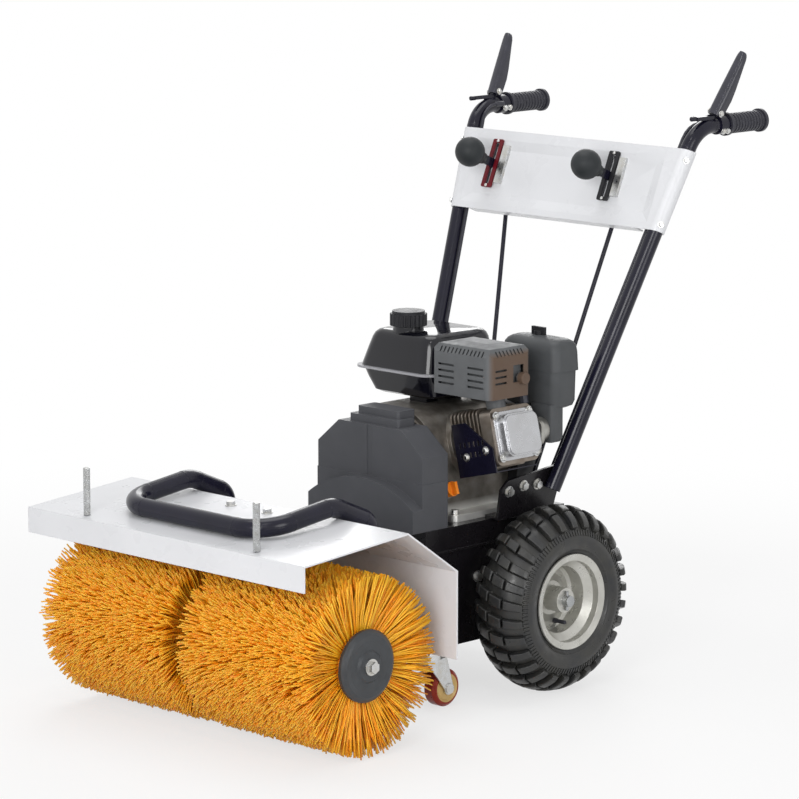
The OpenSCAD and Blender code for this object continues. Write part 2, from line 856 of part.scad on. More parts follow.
module brush_belt() {
  rise = crank_z - brush_z;
  low_r = brush_pulley_r - groove_depth + belt_play;
  high_r = crank_pulley_r - groove_depth + belt_play;
  color("#1c1c1c") translate([0, pulley_y + (pulley_w - belt_w) / 2, brush_z]) along_y(belt_w)
    difference() {
      belt_outline(low_r + belt_t, high_r + belt_t, rise);
      belt_outline(low_r, high_r, rise);
    }
}

// Brush: a cross shaft with a bristle section on each side of the gear case
section_in = 32;
bore_play = 0.4;
brush_end_x = section_in + section_l;
module brush_shaft() {
  color("#9a9da0") translate([-brush_end_x, brush_y, brush_z]) x_bar(shaft_r, 2 * brush_end_x);
}

// Bristles rise from a faceted drum: each facet carries one square bristle
base_shares = [[0.36, 0.22], [0.64, 0.22], [0.64, 0.78], [0.36, 0.78]];
tip_w = 6;
tip_splay = 9;
tip_twist_share = 0.5;
function drum_point(r, a, x) = [x, r * cos(a), r * sin(a)];
function ring_x(i) = section_in + i * section_l / ring_count;
function facet_a(j) = j * 360 / ring_bristles;
function mix(a, b, t) = a + (b - a) * t;
function facet_point(i, j, s) = mix(
  drum_point(core_r, facet_a(j), ring_x(i + s.x)),
  drum_point(core_r, facet_a(j + 1), ring_x(i + s.x)),
  s.y
);
// Tips lean sideways by turns, and toward both ends of the section
function tip_lean(i) = (i % 2 - tip_twist_share) * tip_twist_share * 360 / ring_bristles;
function tip_x(i) = ring_x(i + 0.5) + tip_splay * (2 * i / (ring_count - 1) - 1);
function tip_point(i, j, s) =
  let (a = facet_a(j + 0.5) + tip_lean(i), half_a = tip_w / brush_r * 90 / PI)
  drum_point(brush_r, a + (s.y > 0.5 ? half_a : -half_a), tip_x(i) + (s.x > 0.5 ? tip_w : -tip_w) / 2);

module bristles_body() {
  m = ring_bristles;
  n = ring_count;
  bore_r = (shaft_r + bore_play) / cos(180 / m);
  grid = [for (i = [0 : n], j = [0 : m - 1]) drum_point(core_r, facet_a(j), ring_x(i))];
  bore = [for (x = [ring_x(0), ring_x(n)], j = [0 : m - 1]) drum_point(bore_r, facet_a(j), x)];
  bases = [for (i = [0 : n - 1], j = [0 : m - 1], s = base_shares) facet_point(i, j, s)];
  tips = [for (i = [0 : n - 1], j = [0 : m - 1], s = base_shares) tip_point(i, j, s)];
  bore_at = (n + 1) * m;
  base_at = bore_at + 2 * m;
  tip_at = base_at + 4 * n * m;
  function g(i, j) = i * m + j % m;
  function b(e, j) = bore_at + e * m + j % m;
  function s(i, j, k) = base_at + 4 * (i * m + j) + k % 4;
  function t(i, j, k) = tip_at + 4 * (i * m + j) + k % 4;
  function corner(i, j, k) = [g(i, j), g(i + 1, j), g(i + 1, j + 1), g(i, j + 1)][k % 4];
  sides = [for (i = [0 : n - 1], j = [0 : m - 1], k = [0 : 3]) [i, j, k]];
  around = [0 : m - 1];
  // A frame of four strips round each bristle's foot, its four sides and its tip
  feet = [for (q = sides) let (i = q[0], j = q[1], k = q[2]) each [
    [corner(i, j, k), corner(i, j, k + 1), s(i, j, k + 1)],
    [corner(i, j, k), s(i, j, k + 1), s(i, j, k)]
  ]];
  walls = [for (q = sides) let (i = q[0], j = q[1], k = q[2]) each [
    [s(i, j, k), s(i, j, k + 1), t(i, j, k + 1)],
    [s(i, j, k), t(i, j, k + 1), t(i, j, k)]
  ]];
  ends = [for (i = [0 : n - 1], j = around, k = [0, 2]) [t(i, j, k), t(i, j, k + 1), t(i, j, k + 2)]];
  drum = [for (j = around) each [
    [g(0, j), g(0, j + 1), b(0, j + 1)],
    [g(0, j), b(0, j + 1), b(0, j)],
    [g(n, j + 1), g(n, j), b(1, j)],
    [g(n, j + 1), b(1, j), b(1, j + 1)],
    [b(0, j), b(0, j + 1), b(1, j + 1)],
    [b(0, j), b(1, j + 1), b(1, j)]
  ]];
  polyhedron(points = concat(grid, bore, bases, tips), faces = concat(feet, walls, ends, drum));
}

module bristles(side) {
  color("#e08a1e") on_side(side) translate([0, brush_y, brush_z]) bristles_body();
}

// Stepped end disc of the brush
disc_r = 61;
disc_t = 14;
disc_rim = 9;
disc_dish = 4;
disc_hub_r = 24;
module brush_disc(side) {
  color("#232426") on_side(side) translate([brush_end_x, brush_y, brush_z]) around_x() polygon([
    [0, 0],
    [0, disc_t],
    [disc_hub_r, disc_t],
    [disc_hub_r + disc_dish, disc_t - disc_dish],
    [disc_r - 2 * disc_rim, disc_t - disc_dish],
    [disc_r - disc_rim, disc_t - disc_dish / 2],
    [disc_r - disc_rim / 2, disc_t - disc_dish],
    [disc_r, disc_t - 2 * disc_dish],
    [disc_r, 0]
  ]);
}

// Bolt and washer on each brush end
end_washer_r = 14;
end_washer_h = 3;
end_bolt_r = 10;
end_bolt_h = 8;
module brush_bolts() {
  color("#c2c5c8")
    both_sides() translate([brush_end_x + disc_t, brush_y, brush_z]) rotate([0, 90, 0]) {
        cylinder(r = end_washer_r, h = end_washer_h);
        translate([0, 0, end_washer_h]) cylinder(r = end_bolt_r, h = end_bolt_h, $fn = hex_sides);
      }
}

// Castor fork with its stem, bearing cup and riveted axle
cup_r = 25;
cup_h = 13;
crown_t = 4;
leg_t = 3;
leg_play = 2;
leg_w = 22;
castor_axle_r = 5;
rivet_r = 9;
rivet_h = 3;
stem_nut_r = 14;
stem_nut_h = 9;
cup_round = 4;

module castor_fork(side) {
  cup_z = beam_z - seat - cup_h;
  leg_x = castor_w / 2 + leg_play;
  color("#c9ccd0") translate([side * castor_gap / 2, castor_y, 0]) {
    // Stem, nut over the beam and bearing cup under it
    translate([0, 0, cup_z]) cylinder(r = stem_r, h = cup_h + beam_t + 3 * seat + stem_nut_h);
    translate([0, 0, beam_z + beam_t + seat])
      cylinder(r = stem_nut_r, h = stem_nut_h, $fn = hex_sides);
    translate([0, 0, cup_z]) rotate_extrude()
      polygon([[0, 0], [cup_r, 0], [cup_r, cup_h - cup_round], [cup_r - cup_round, cup_h], [0, cup_h]]);
    translate([-leg_x - leg_t, -leg_w, cup_z - crown_t])
      cube([2 * (leg_x + leg_t), 2 * leg_w + cup_round, crown_t]);
    // Legs sweep back to the axle
    for (x = [-leg_x - leg_t, leg_x])
      translate([x, 0, 0]) along_x(leg_t) {
        polygon([
          [-leg_w, cup_z],
          [leg_w + cup_round, cup_z],
          [castor_trail + leg_w / 2, castor_r],
          [castor_trail - leg_w / 2, castor_r]
        ]);
        translate([castor_trail, castor_r]) circle(leg_w / 2);
      }
    translate([-leg_x - leg_t - rivet_h, castor_trail, castor_r])
      x_bar(castor_axle_r, 2 * (leg_x + leg_t + rivet_h));
    for (x = [-leg_x - leg_t - rivet_h, leg_x + leg_t])
      translate([x, castor_trail, castor_r]) x_bar(rivet_r, rivet_h);
  }
}

// Castor wheel: a moulded tread on a hub
castor_round = 5;
castor_hub_r = 20;
castor_hub_in = 3;
module castor_wheel(side) {
  half = castor_w / 2;
  color("#8a3b26") translate([side * castor_gap / 2, castor_y + castor_trail, castor_r]) around_x()
    polygon([
      [castor_axle_r + run_fit, -half],
      [castor_axle_r + castor_round, -half],
      [castor_hub_r, -half + castor_hub_in],
      [castor_hub_r + castor_round, -half],
      [castor_r - castor_round, -half],
      [castor_r, -half + castor_round],
      [castor_r, half - castor_round],
      [castor_r - castor_round, half],
      [castor_hub_r + castor_round, half],
      [castor_hub_r, half - castor_hub_in],
      [castor_axle_r + castor_round, half],
      [castor_axle_r + run_fit, half]
    ]);
}

// Crankcase: a cast body on a foot flange, with the crank boss and the cylinder seat
case_l = 194;
case_front_y = crank_front_y;
case_rear_y = case_front_y + case_l;
case_body_r = 78;
case_body_w = 150;
case_top_h = 78;
foot_out = 31;
foot_w = case_body_w + 2 * foot_out;
foot_l = 150;
foot_h = 12;
foot_round = 10;
foot_mid_x = 4;
foot_mid_y = case_front_y + case_l / 2;
pto_r = 70;
pto_t = 4;
seat_r = 56;
seat_from = 30;
seat_to = 86;
cyl_back = 97;
cyl_y = case_front_y + cyl_back;
oil_boss_r = 15;
oil_boss_l = 30;
oil_z = 46;
oil_in = 26;
case_rib_t = 5;
case_rib_n = 3;
case_rib_pitch = 36;
case_rib_r = 4;

// Places its children in the slanted frame of the cylinder, whose +X is the bore axis
module in_cylinder() {
  translate([0, cyl_y, crank_z]) rotate([0, -slant, 0]) children();
}

module crankcase() {
  color("#8f9294") difference() {
    union() {
      translate([foot_mid_x, foot_mid_y, deck_z])
        plate(foot_w, foot_l, foot_round, foot_h);
      translate([0, case_front_y + pto_t, crank_z]) along_y(case_l - pto_t) union() {
        circle(case_body_r);
        translate([-case_body_w / 2, -crank_h + foot_h]) square([case_body_w, crank_h - foot_h]);
        translate([-case_body_w / 2, 0]) square([case_body_w / 2, case_top_h]);
      }
      // Cover plate of the drive side with its boss
      translate([0, case_front_y, crank_z]) y_bar(pto_r, 2 * pto_t);
      in_cylinder() translate([seat_from, 0, 0]) x_bar(seat_r, seat_to - seat_from);
      // Filler neck for the oil
      oil_neck(0) x_bar(oil_boss_r, oil_boss_l);
      // Stiffening ribs on the drive side
      for (i = [1 : case_rib_n])
        translate([-case_body_w / 2 - case_rib_r, case_front_y + i * case_rib_pitch, deck_z])
          cube([case_rib_t + case_rib_r, case_rib_t, crank_h]);
    }
    translate([0, case_front_y - overrun, crank_z])
      y_bar(crank_shaft_r + run_fit, crank_shaft_in + 2 * overrun);
  }
}

// Place of the oil filler, low on the cylinder side
oil_tilt = 18;
module oil_neck(out) {
  translate([case_body_w / 2 - oil_in / 2, case_front_y + oil_in, deck_z + oil_z])
    rotate([0, -oil_tilt, 0]) translate([out, 0, 0]) children();
}

oil_cap_r = 13;
oil_cap_l = 12;
oil_grip_w = 6;
oil_grip_l = 10;
oil_grip_r = 11;
module oil_cap() {
  color("#d9631e") oil_neck(oil_boss_l) {
    x_bar(oil_cap_r, oil_cap_l);
    translate([0, -oil_grip_w / 2, -oil_grip_r])
      cube([oil_cap_l + oil_grip_l, oil_grip_w, 2 * oil_grip_r]);
  }
}

// Cylinder: barrel and head with cooling fins
barrel_r = 46;
fin_w = 104;
fin_h = 108;
fin_t = 3;
fin_gap = 9;
fin_n = 8;
fin_round = 12;
head_from = 160;
head_to = 186;
head_w = 104;
head_h = 100;
module cylinder_block() {
  color("#83807c") in_cylinder() {
    translate([seat_to, 0, 0]) x_bar(barrel_r, head_to - seat_to);
    for (i = [0 : fin_n - 1])
      translate([seat_to + fin_t + i * fin_gap, 0, 0]) rotate([90, 0, 90])
        plate(fin_w, fin_h, fin_round, fin_t);
    translate([head_from, 0, 0]) rotate([90, 0, 90])
      plate(head_w, head_h, fin_round, head_to - head_from);
  }
}

// Valve cover: a pressed lid with a flange and a raised, stepped crown
valve_w = 96;
valve_h = 86;
valve_flange_t = 4;
valve_lid = 24;
valve_in = 6;
valve_round = 18;
valve_step = 4;
module valve_cover() {
  color("#c9cbcc") in_cylinder() translate([head_to, 0, 0]) rotate([90, 0, 90]) {
    plate(valve_w, valve_h, valve_round, valve_flange_t);
    for (i = [2, 3])
      plate(
        valve_w - i * valve_in,
        valve_h - i * valve_in,
        valve_round - (i - 1) * valve_in / 2,
        valve_lid + (i - 3) * valve_step
      );
  }
}

// Cylinder shroud: a sheet beside and under the fins, with air slots
shroud_t = 2.5;
shroud_from = 92;
shroud_to = 182;
shroud_top = 34;
shroud_low = 60;
shroud_slots = 6;
shroud_slot_w = 4;
shroud_slot_h = 9;
shroud_slot_pitch = 11;
module cylinder_shroud() {
  wall = fin_w / 2 + seat;
  color("#17181a") in_cylinder() difference() {
    union() {
      translate([0, -wall - shroud_t, 0]) along_y(shroud_t) polygon([
        [shroud_from, -shroud_low],
        [shroud_from, shroud_top],
        [shroud_from + shroud_top, shroud_top],
        [shroud_to, -shroud_top / 2],
        [shroud_to, -shroud_low]
      ]);
      // Floor under the fins
      translate([shroud_from, -wall - shroud_t, -shroud_low])
        cube([shroud_to - shroud_from, fin_w, shroud_t]);
    }
    for (i = [0 : shroud_slots - 1], row = [0, 1])
      translate([
        shroud_from + shroud_slot_pitch * (i + 1),
        -wall - shroud_t - overrun,
        -shroud_slot_h * (1 + 2 * row)
      ])
        cube([shroud_slot_w, shroud_t + 2 * overrun, shroud_slot_h]);
  }
}

// Recoil starter and blower housing at the rear of the engine
blower_w = 196;
blower_h = 184;
blower_d = 42;
blower_round = 60;
blower_foot = 12;
blower_top_z = deck_z + blower_foot + blower_h;
recoil_r = 92;
recoil_d = 44;
recoil_cone = 12;
recoil_slots = 10;
recoil_slot_w = 9;
recoil_slot_in = 40;
recoil_slot_l = 34;
recoil_wall = 4;
rope_r = 3;
rope_l = 62;
rope_x = 30;
rope_z = 44;
module recoil_cover() {
  color("#202124") translate([0, case_rear_y, crank_z]) difference() {
    union() {
      translate([0, 0, -crank_h + blower_foot + blower_h / 2]) along_y(blower_d)
        rounded_rect(blower_w, blower_h, blower_round);
      rotate([-90, 0, 0]) rotate_extrude() polygon([
        [0, 0],
        [recoil_r, 0],
        [recoil_r, blower_d + recoil_d - recoil_cone],
        [recoil_r - recoil_cone, blower_d + recoil_d],
        [0, blower_d + recoil_d]
      ]);
    }
    // Air slots in the starter's face
    for (i = [0 : recoil_slots - 1])
      rotate([0, i * 360 / recoil_slots, 0])
        translate([recoil_slot_in, blower_d + recoil_d - recoil_wall, -recoil_slot_w / 2])
          cube([recoil_slot_l, recoil_wall + overrun, recoil_slot_w]);
    // Rope guide
    translate([-rope_x, blower_d + recoil_d - rope_l - recoil_wall, rope_z])
      y_bar(rope_r + seat, rope_l + recoil_wall + overrun);
  }
}

// Starter grip on its rope
recoil_grip_r = 9;
recoil_grip_l = 70;
module recoil_grip() {
  color("#101011") translate([-rope_x, case_rear_y + blower_d + recoil_d, crank_z + rope_z]) {
    translate([0, -rope_l, 0]) y_bar(rope_r, rope_l + recoil_grip_r);
    translate([-recoil_grip_l / 2, seat + recoil_grip_r, 0]) x_bar(recoil_grip_r, recoil_grip_l);
  }
}

// Fuel tank: two pressed shells meeting at a seam flange, on four feet
tank_l = 178;
tank_x = -58;
tank_gap = 14;
tank_z = crank_z + case_top_h + tank_gap;
tank_back = 126;
tank_y = case_front_y + tank_back;
tank_round = 30;
tank_seam = 6;
tank_seam_t = 4;
tank_seam_h = 44;
tank_crown = 16;
tank_taper = 12;
tank_foot_w = 40;
tank_foot_l = 30;
tank_foot_y = 30;
cap_x = -2;
cap_y = -46;
neck_r = 27;
neck_h = 8;
module fuel_tank() {
  color("#121214") translate([tank_x, tank_y, tank_z]) {
    intersection() {
      plate(tank_w, tank_l, tank_round, tank_h);
      translate([0, -tank_l, 0]) along_y(2 * tank_l) tank_section(tank_w);
      translate([-tank_w, 0, 0]) along_x(2 * tank_w) tank_section(tank_l);
    }
    translate([0, 0, tank_seam_h])
      plate(tank_w + 2 * tank_seam, tank_l + 2 * tank_seam, tank_round + tank_seam, tank_seam_t);
    translate([cap_x, cap_y, tank_h - tank_crown / 2])
      cylinder(r = neck_r, h = tank_crown / 2 + neck_h);
    // Feet on the crankcase
    for (y = [-1, 1])
      translate([-tank_x - case_body_w / 4 - tank_foot_w / 2, y * tank_foot_y - tank_foot_l / 2, -tank_gap])
        cube([tank_foot_w, tank_foot_l, tank_gap + tank_crown]);
  }
}

// Side view of the tank: drawn in below the seam, slightly domed above it
module tank_section(w) {
  polygon([
    [-w / 2 + tank_taper, 0],
    [w / 2 - tank_taper, 0],
    [w / 2, tank_seam_h],
    [w / 2 - tank_taper / 2, tank_h - tank_crown],
    [w / 2 - tank_taper - tank_crown, tank_h],
    [-w / 2 + tank_taper + tank_crown, tank_h],
    [-w / 2 + tank_taper / 2, tank_h - tank_crown],
    [-w / 2, tank_seam_h]
  ]);
}

// Fuel cap with grip ridges
cap_r = 33;
cap_h = 26;
cap_round = 5;
cap_ridges = 24;
cap_ridge = 2;
module fuel_cap() {
  ridges = [for (i = [0 : 4 * cap_ridges - 1])
    let (a = i * 90 / cap_ridges, r = i % 4 < 2 ? cap_r : cap_r - cap_ridge)
    [r * cos(a), r * sin(a)]];
  color("#191a1c") translate([tank_x + cap_x, tank_y + cap_y, tank_z + tank_h + neck_h + seat]) {
    linear_extrude(cap_h - cap_round) polygon(ridges);
    cylinder(r = cap_r - 2 * cap_ridge, h = cap_h);
  }
}

// Muffler: a slotted sheet guard round the silencer box, on a short exhaust pipe
muffler_d = 104;
muffler_x = 118;
muffler_wall = 2;
muffler_round = 12;
muffler_crown = 18;
muffler_back = 79;
muffler_y = case_front_y + muffler_back;
muffler_up = 112;
muffler_z = crank_z + muffler_up;
pipe_r = 17;
pipe_s = 172;
slot_h = 3.5;
slot_w = 38;
slot_n = 4;
slot_pitch = 11;
slot_low = 18;
vent_w = 3.5;
vent_l = 9;
vent_n = 12;
vent_pitch = 9;
vent_n_side = 8;
outlet_w = 26;
outlet_h = 30;
outlet_y = 20;
outlet_z = 26;
box_in = 9;

module muffler() {
  color("#9c9b97") {
    translate([muffler_x, muffler_y, muffler_z]) difference() {
      muffler_shape(muffler_w, muffler_d, muffler_h);
      translate([0, 0, -overrun]) muffler_shape(
        muffler_w - 2 * muffler_wall,
        muffler_d - 2 * muffler_wall,
        muffler_h - muffler_wall + overrun
      );
      muffler_slots();
    }
    // Silencer box inside the guard, joined to it along the bottom
    translate([muffler_x, muffler_y, muffler_z]) {
      plate(
        muffler_w - 2 * box_in,
        muffler_d - 2 * box_in,
        muffler_round - muffler_wall,
        muffler_h - muffler_crown - box_in
      );
      plate(
        muffler_w - muffler_wall,
        muffler_d - muffler_wall,
        muffler_round - muffler_wall / 2,
        muffler_wall
      );
    }
    intersection() {
      in_cylinder() translate([pipe_s, -cyl_y + muffler_y, head_h / 2])
        cylinder(r = pipe_r, h = muffler_h);
      translate([0, muffler_y - muffler_d / 2, 0])
        cube([2 * muffler_w, muffler_d, muffler_z + muffler_wall / 2]);
    }
  }
}

// Box with round upright corners and a domed top
module muffler_shape(w, d, h) {
  intersection() {
    plate(w, d, muffler_round, h);
    translate([0, -d, 0]) along_y(2 * d) muffler_section(w, h);
    translate([-w, 0, 0]) along_x(2 * w) muffler_section(d, h);
  }
}

module muffler_section(w, h) {
  polygon([
    [-w / 2, 0],
    [w / 2, 0],
    [w / 2, h - muffler_crown],
    [w / 2 - muffler_crown / 2, h - muffler_crown / 4],
    [w / 2 - 2 * muffler_crown, h],
    [-w / 2 + 2 * muffler_crown, h],
    [-w / 2 + muffler_crown / 2, h - muffler_crown / 4],
    [-w / 2, h - muffler_crown]
  ]);
}

module muffler_slots() {
  // Louvres in the front face
  for (x = [-1, 1], i = [0 : slot_n - 1])
    translate([x * muffler_w / 4 - slot_w / 2, -muffler_d, slot_low + i * slot_pitch])
      cube([slot_w, muffler_d - muffler_d / 4, slot_h]);
  // Short vents round the upper edge
  for (i = [0 : vent_n - 1])
    translate([(i - (vent_n - 1) / 2) * vent_pitch - vent_w / 2, -muffler_d, muffler_h - muffler_crown])
      cube([vent_w, muffler_d - muffler_d / 4, vent_l]);
  for (i = [0 : vent_n_side - 1])
    translate([
      muffler_w / 4,
      (i - (vent_n_side - 1) / 2) * vent_pitch - vent_w / 2,
      muffler_h - muffler_crown
    ])
      cube([muffler_w, vent_w, vent_l]);
  // Outlet and louvres in the side face
  translate([muffler_w / 4, outlet_y - outlet_w / 2, outlet_z]) cube([muffler_w, outlet_w, outlet_h]);
  for (i = [0 : slot_n - 2])
    translate([muffler_w / 4, -slot_w, outlet_z + i * slot_pitch])
      cube([muffler_w, slot_w - vent_l, slot_h]);
}

// Carburettor behind the cylinder head, with its float bowl
carb_r = 22;
carb_l = 30;
carb_s = 172;
bowl_r = 12;
bowl_h = 34;
carb_flange_w = 60;
carb_flange_t = 8;
carb_y = cyl_y + head_w / 2;
carb_x = carb_s * cos(slant);
carb_z = crank_z + carb_s * sin(slant);
module carburettor() {
  color("#8d8a84") translate([carb_x, carb_y, carb_z]) {
    y_bar(carb_r, carb_l);
    translate([0, carb_flange_t, 0]) rotate([90, 0, 0])
      plate(carb_flange_w, 2 * carb_r, carb_r / 2, carb_flange_t);
    translate([0, carb_l / 2, -carb_r - bowl_h / 2]) cylinder(r = bowl_r, h = bowl_h);
  }
}

// Air cleaner: an elbow and base on the carburettor, and a lid with a knob
cleaner_w = 128;
cleaner_d = 66;
cleaner_round = 14;
cleaner_base_h = 44;
cleaner_lid_h = 56;
cleaner_crown = 8;
cleaner_x = 131;
cleaner_up = 102;
cleaner_z = crank_z + cleaner_up;
elbow_w = 50;
cleaner_y = carb_y + carb_l + cleaner_d / 2;
lid_lap = 3;
module air_cleaner_base() {
  color("#3a3b3d") {
    translate([cleaner_x, cleaner_y, cleaner_z])
      plate(
        cleaner_w - 2 * lid_lap,
        cleaner_d - 2 * lid_lap,
        cleaner_round - lid_lap,
        cleaner_base_h
      );
    // Elbow down to the carburettor mouth
    translate([carb_x - elbow_w / 2, carb_y + carb_l, carb_z - carb_r])
      cube([elbow_w, cleaner_d / 2, cleaner_z + cleaner_base_h / 2 - carb_z + carb_r]);
  }
}

module air_cleaner_cover() {
  color("#404143") translate([cleaner_x, cleaner_y, cleaner_z + cleaner_base_h]) intersection() {
    plate(cleaner_w, cleaner_d, cleaner_round, cleaner_lid_h);
    translate([0, -cleaner_d, 0]) along_y(2 * cleaner_d) cleaner_section(cleaner_w);
    translate([-cleaner_w, 0, 0]) along_x(2 * cleaner_w) cleaner_section(cleaner_d);
  }
}

module cleaner_section(w) {
  polygon([
    [-w / 2 + lid_lap, 0],
    [w / 2 - lid_lap, 0],
    [w / 2, lid_lap],
    [w / 2 - lid_lap, cleaner_lid_h - cleaner_crown],
    [w / 2 - cleaner_crown - lid_lap, cleaner_lid_h],
    [-w / 2 + cleaner_crown + lid_lap, cleaner_lid_h],
    [-w / 2 + lid_lap, cleaner_lid_h - cleaner_crown],
    [-w / 2, lid_lap]
  ]);
}

wing_r = 8;
wing_h = 7;
wing_l = 30;
wing_t = 6;
module air_cleaner_knob() {
  color("#1a1a1b") translate([cleaner_x, cleaner_y, cleaner_z + cleaner_base_h + cleaner_lid_h]) {
    cylinder(r = wing_r, h = wing_h);
    translate([-wing_l / 2, -wing_t / 2, 0]) cube([wing_l, wing_t, 2 * wing_h]);
  }
}

// Spark plug boot and lead, back over the blower housing
plug_s = 178;
plug_y = 46;
boot_r = 8.5;
boot_l = 22;
lead_r = 3.5;
lead_bend = 12;
lead_rise = 34;
lead_side = 76;
lead_back = 17;
lead_end_x = 44;
lead_end_y = 20;
lead_drop = 16;
module spark_lead() {
  plug = [
    plug_s * cos(slant) - head_h / 2 * sin(slant),
    cyl_y + plug_y,
    crank_z + plug_s * sin(slant) + head_h / 2 * cos(slant)
  ];
  up = [-sin(slant), 0, cos(slant)];
  top = plug + lead_rise * up;
  end = [lead_end_x, case_rear_y + lead_end_y, blower_top_z + seat];
  color("#1b1a19") cord([
    plug,
    top,
    [top.x - lead_side, top.y + lead_back, top.z - lead_drop],
    end + [0, 0, lead_drop],
    end
  ], lead_r, lead_bend, boot_r, boot_l, [0, 1, 0]);
}

// Handle: each tube lies in a plane splayed outward, where +Y is back and +Z is up
tube_out = 41;
tube_low_x = chassis_half + tube_out;
tube_back = 48;
tube_low_y = axle_y + tube_back;
tube_up = 42;
tube_low_z = deck_z + tube_up;
tube_bend_r = 60;
lean = atan((rear_y - grip_reach - tube_low_y) / (grip_z - tube_low_z));
plane_lean = atan(tan(lean) * cos(splay));
grip_up = (grip_z - tube_low_z) / cos(splay);
tube_corner_y = tube_low_y + grip_up * tan(plane_lean);
grip_end = 4;
tube_path = [[0, tube_low_y, 0], [0, tube_corner_y, grip_up], [0, rear_y - grip_end, grip_up]];

module handle_plane() {
  translate([tube_low_x, 0, tube_low_z]) rotate([0, splay, 0]) children();
}

lever_back = 127;
lever_pivot_y = rear_y - lever_back;
lever_rise = 9;
lever_pivot_up = grip_up + tube_r + lever_rise;
lug_t = 8;
lug_r = 8;
lever_pin_r = 3;

module handle_tube(side) {
  color("#15161c") on_side(side) handle_plane() difference() {
    union() {
      bent_bar(tube_path, tube_r, tube_bend_r);
      // Welded lug for the clutch lever
      translate([-lug_t / 2, lever_pivot_y, 0]) {
        translate([0, 0, lever_pivot_up]) x_bar(lug_r, lug_t);
        translate([0, -lug_r, grip_up + tube_r / 2])
          cube([lug_t, 2 * lug_r, lever_pivot_up - grip_up - tube_r / 2]);
      }
    }
    bent_bar(tube_path, tube_r - tube_wall, tube_bend_r);
    translate([-lug_t, lever_pivot_y, lever_pivot_up]) x_bar(lever_pin_r + run_fit, 2 * lug_t);
  }
}

// Handle bracket: a plate up to the tube and a foot on the chassis
bracket_t = 5;
bracket_in = 16;
bracket_foot_l = 132;
bracket_foot_y = -112;
bracket_outline = [[-118, -60], [-118, 10], [-102, 26], [36, 40], [30, -10], [20, -60]];
module handle_bracket(side) {
  color("#17181b") on_side(side) {
    intersection() {
      handle_plane() translate([-tube_r - seat - bracket_t, 0, 0]) along_x(bracket_t)
        translate([tube_low_y, 0]) polygon(bracket_outline);
      translate([0, 0, deck_z]) cube([2 * tube_low_x, 2 * chassis_l, 2 * tube_low_z]);
    }
    translate([chassis_half - bracket_in, tube_low_y + bracket_foot_y, deck_z]) cube([
      tube_low_x - chassis_half + bracket_in - tube_r - seat - bracket_t / 2 - bracket_lean,
      bracket_foot_l,
      bracket_t
    ]);
  }
}
bracket_lean = (tube_low_z - deck_z) * tan(splay);

// Grip: a ribbed rubber sleeve with an end flange
grip_ribs = 11;
grip_rib = 1.2;
grip_flange = 4;
grip_flange_l = 6;
module grip(side) {
  pitch = (grip_l - 2 * grip_flange_l) / grip_ribs;
  color("#141518") on_side(side) handle_plane() translate([0, rear_y - grip_l, grip_up])
    rotate([-90, 0, 0]) difference() {
      union() {
        cylinder(r = grip_r, h = grip_l);
        for (i = [0 : grip_ribs - 1])
          translate([0, 0, grip_flange_l + (i + 0.25) * pitch])
            cylinder(r = grip_r + grip_rib, h = pitch / 2);
        for (z = [0, grip_l - grip_flange_l])
          translate([0, 0, z]) cylinder(r = grip_r + grip_flange, h = grip_flange_l);
      }
      translate([0, 0, -overrun])
        cylinder(r = tube_r + run_fit, h = grip_l - grip_end + overrun + seat);
    }
}

// Clutch lever: a tapered channel that pivots on the tube's lug
lever_l = 118;
lever_w_low = 17;
lever_w_high = 24;
lever_t = 2.5;
lever_side_h = 13;
lever_tip_h = 6;
lever_rest = 60;
lever_start = -6;
lever_play = 0.5;
module clutch_lever(side) {
  inner = lug_t / 2 + lever_play;
  color("#18191e") on_side(side) handle_plane() translate([0, lever_pivot_y, lever_pivot_up])
    rotate([lever_rest, 0, 0]) {
      translate([0, 0, lug_r + lever_play]) linear_extrude(lever_t) {
        polygon([
          [-lever_w_low / 2, lever_start],
          [lever_w_low / 2, lever_start],
          [lever_w_high / 2, lever_l - lever_w_high / 2],
          [-lever_w_high / 2, lever_l - lever_w_high / 2]
        ]);
        translate([0, lever_l - lever_w_high / 2]) circle(lever_w_high / 2);
      }
      // Side walls of the channel, with the pivot pin across them
      for (x = [-inner - lever_t, inner])
        translate([x, 0, 0]) along_x(lever_t) polygon([
          [lever_start, lug_r + lever_play + lever_t / 2],
          [lever_start, lug_r + lever_play - lever_side_h],
          [-lever_start, lug_r + lever_play - lever_side_h],
          [lever_l - lever_w_high, lug_r + lever_play - lever_tip_h],
          [lever_l - lever_w_high, lug_r + lever_play + lever_t / 2]
        ]);
      translate([-inner - lever_t, 0, 0]) x_bar(lever_pin_r, 2 * (inner + lever_t));
    }
}

// Control panel: a pressed sheet wrapped round both tubes, in a frame that leans with them
panel_y = tube_low_y + (panel_z - tube_low_z) * tan(lean);
panel_half = tube_low_x + (panel_z - tube_low_z) * tan(splay);
panel_flare = atan(tan(splay) * cos(lean));
wrap_r = tube_r + seat + panel_t;
panel_tuck = 0.2;
wrap_lap = 1;
panel_flange = 24;
panel_flange_in = 34;
gate_z = 88;
gate_left_x = 112;
gate_right_x = -172;
slot_half = 39;
gate_slot_w = 9;
pivot_back = 60;
pivot_r = 5;
pivot_tab_t = 3;
pivot_tab_w = 26;
lever_bar_t = 5;
pivot_head = 3;

module in_panel() {
  translate([0, panel_y, panel_z]) rotate([-lean, 0, 0]) children();
}

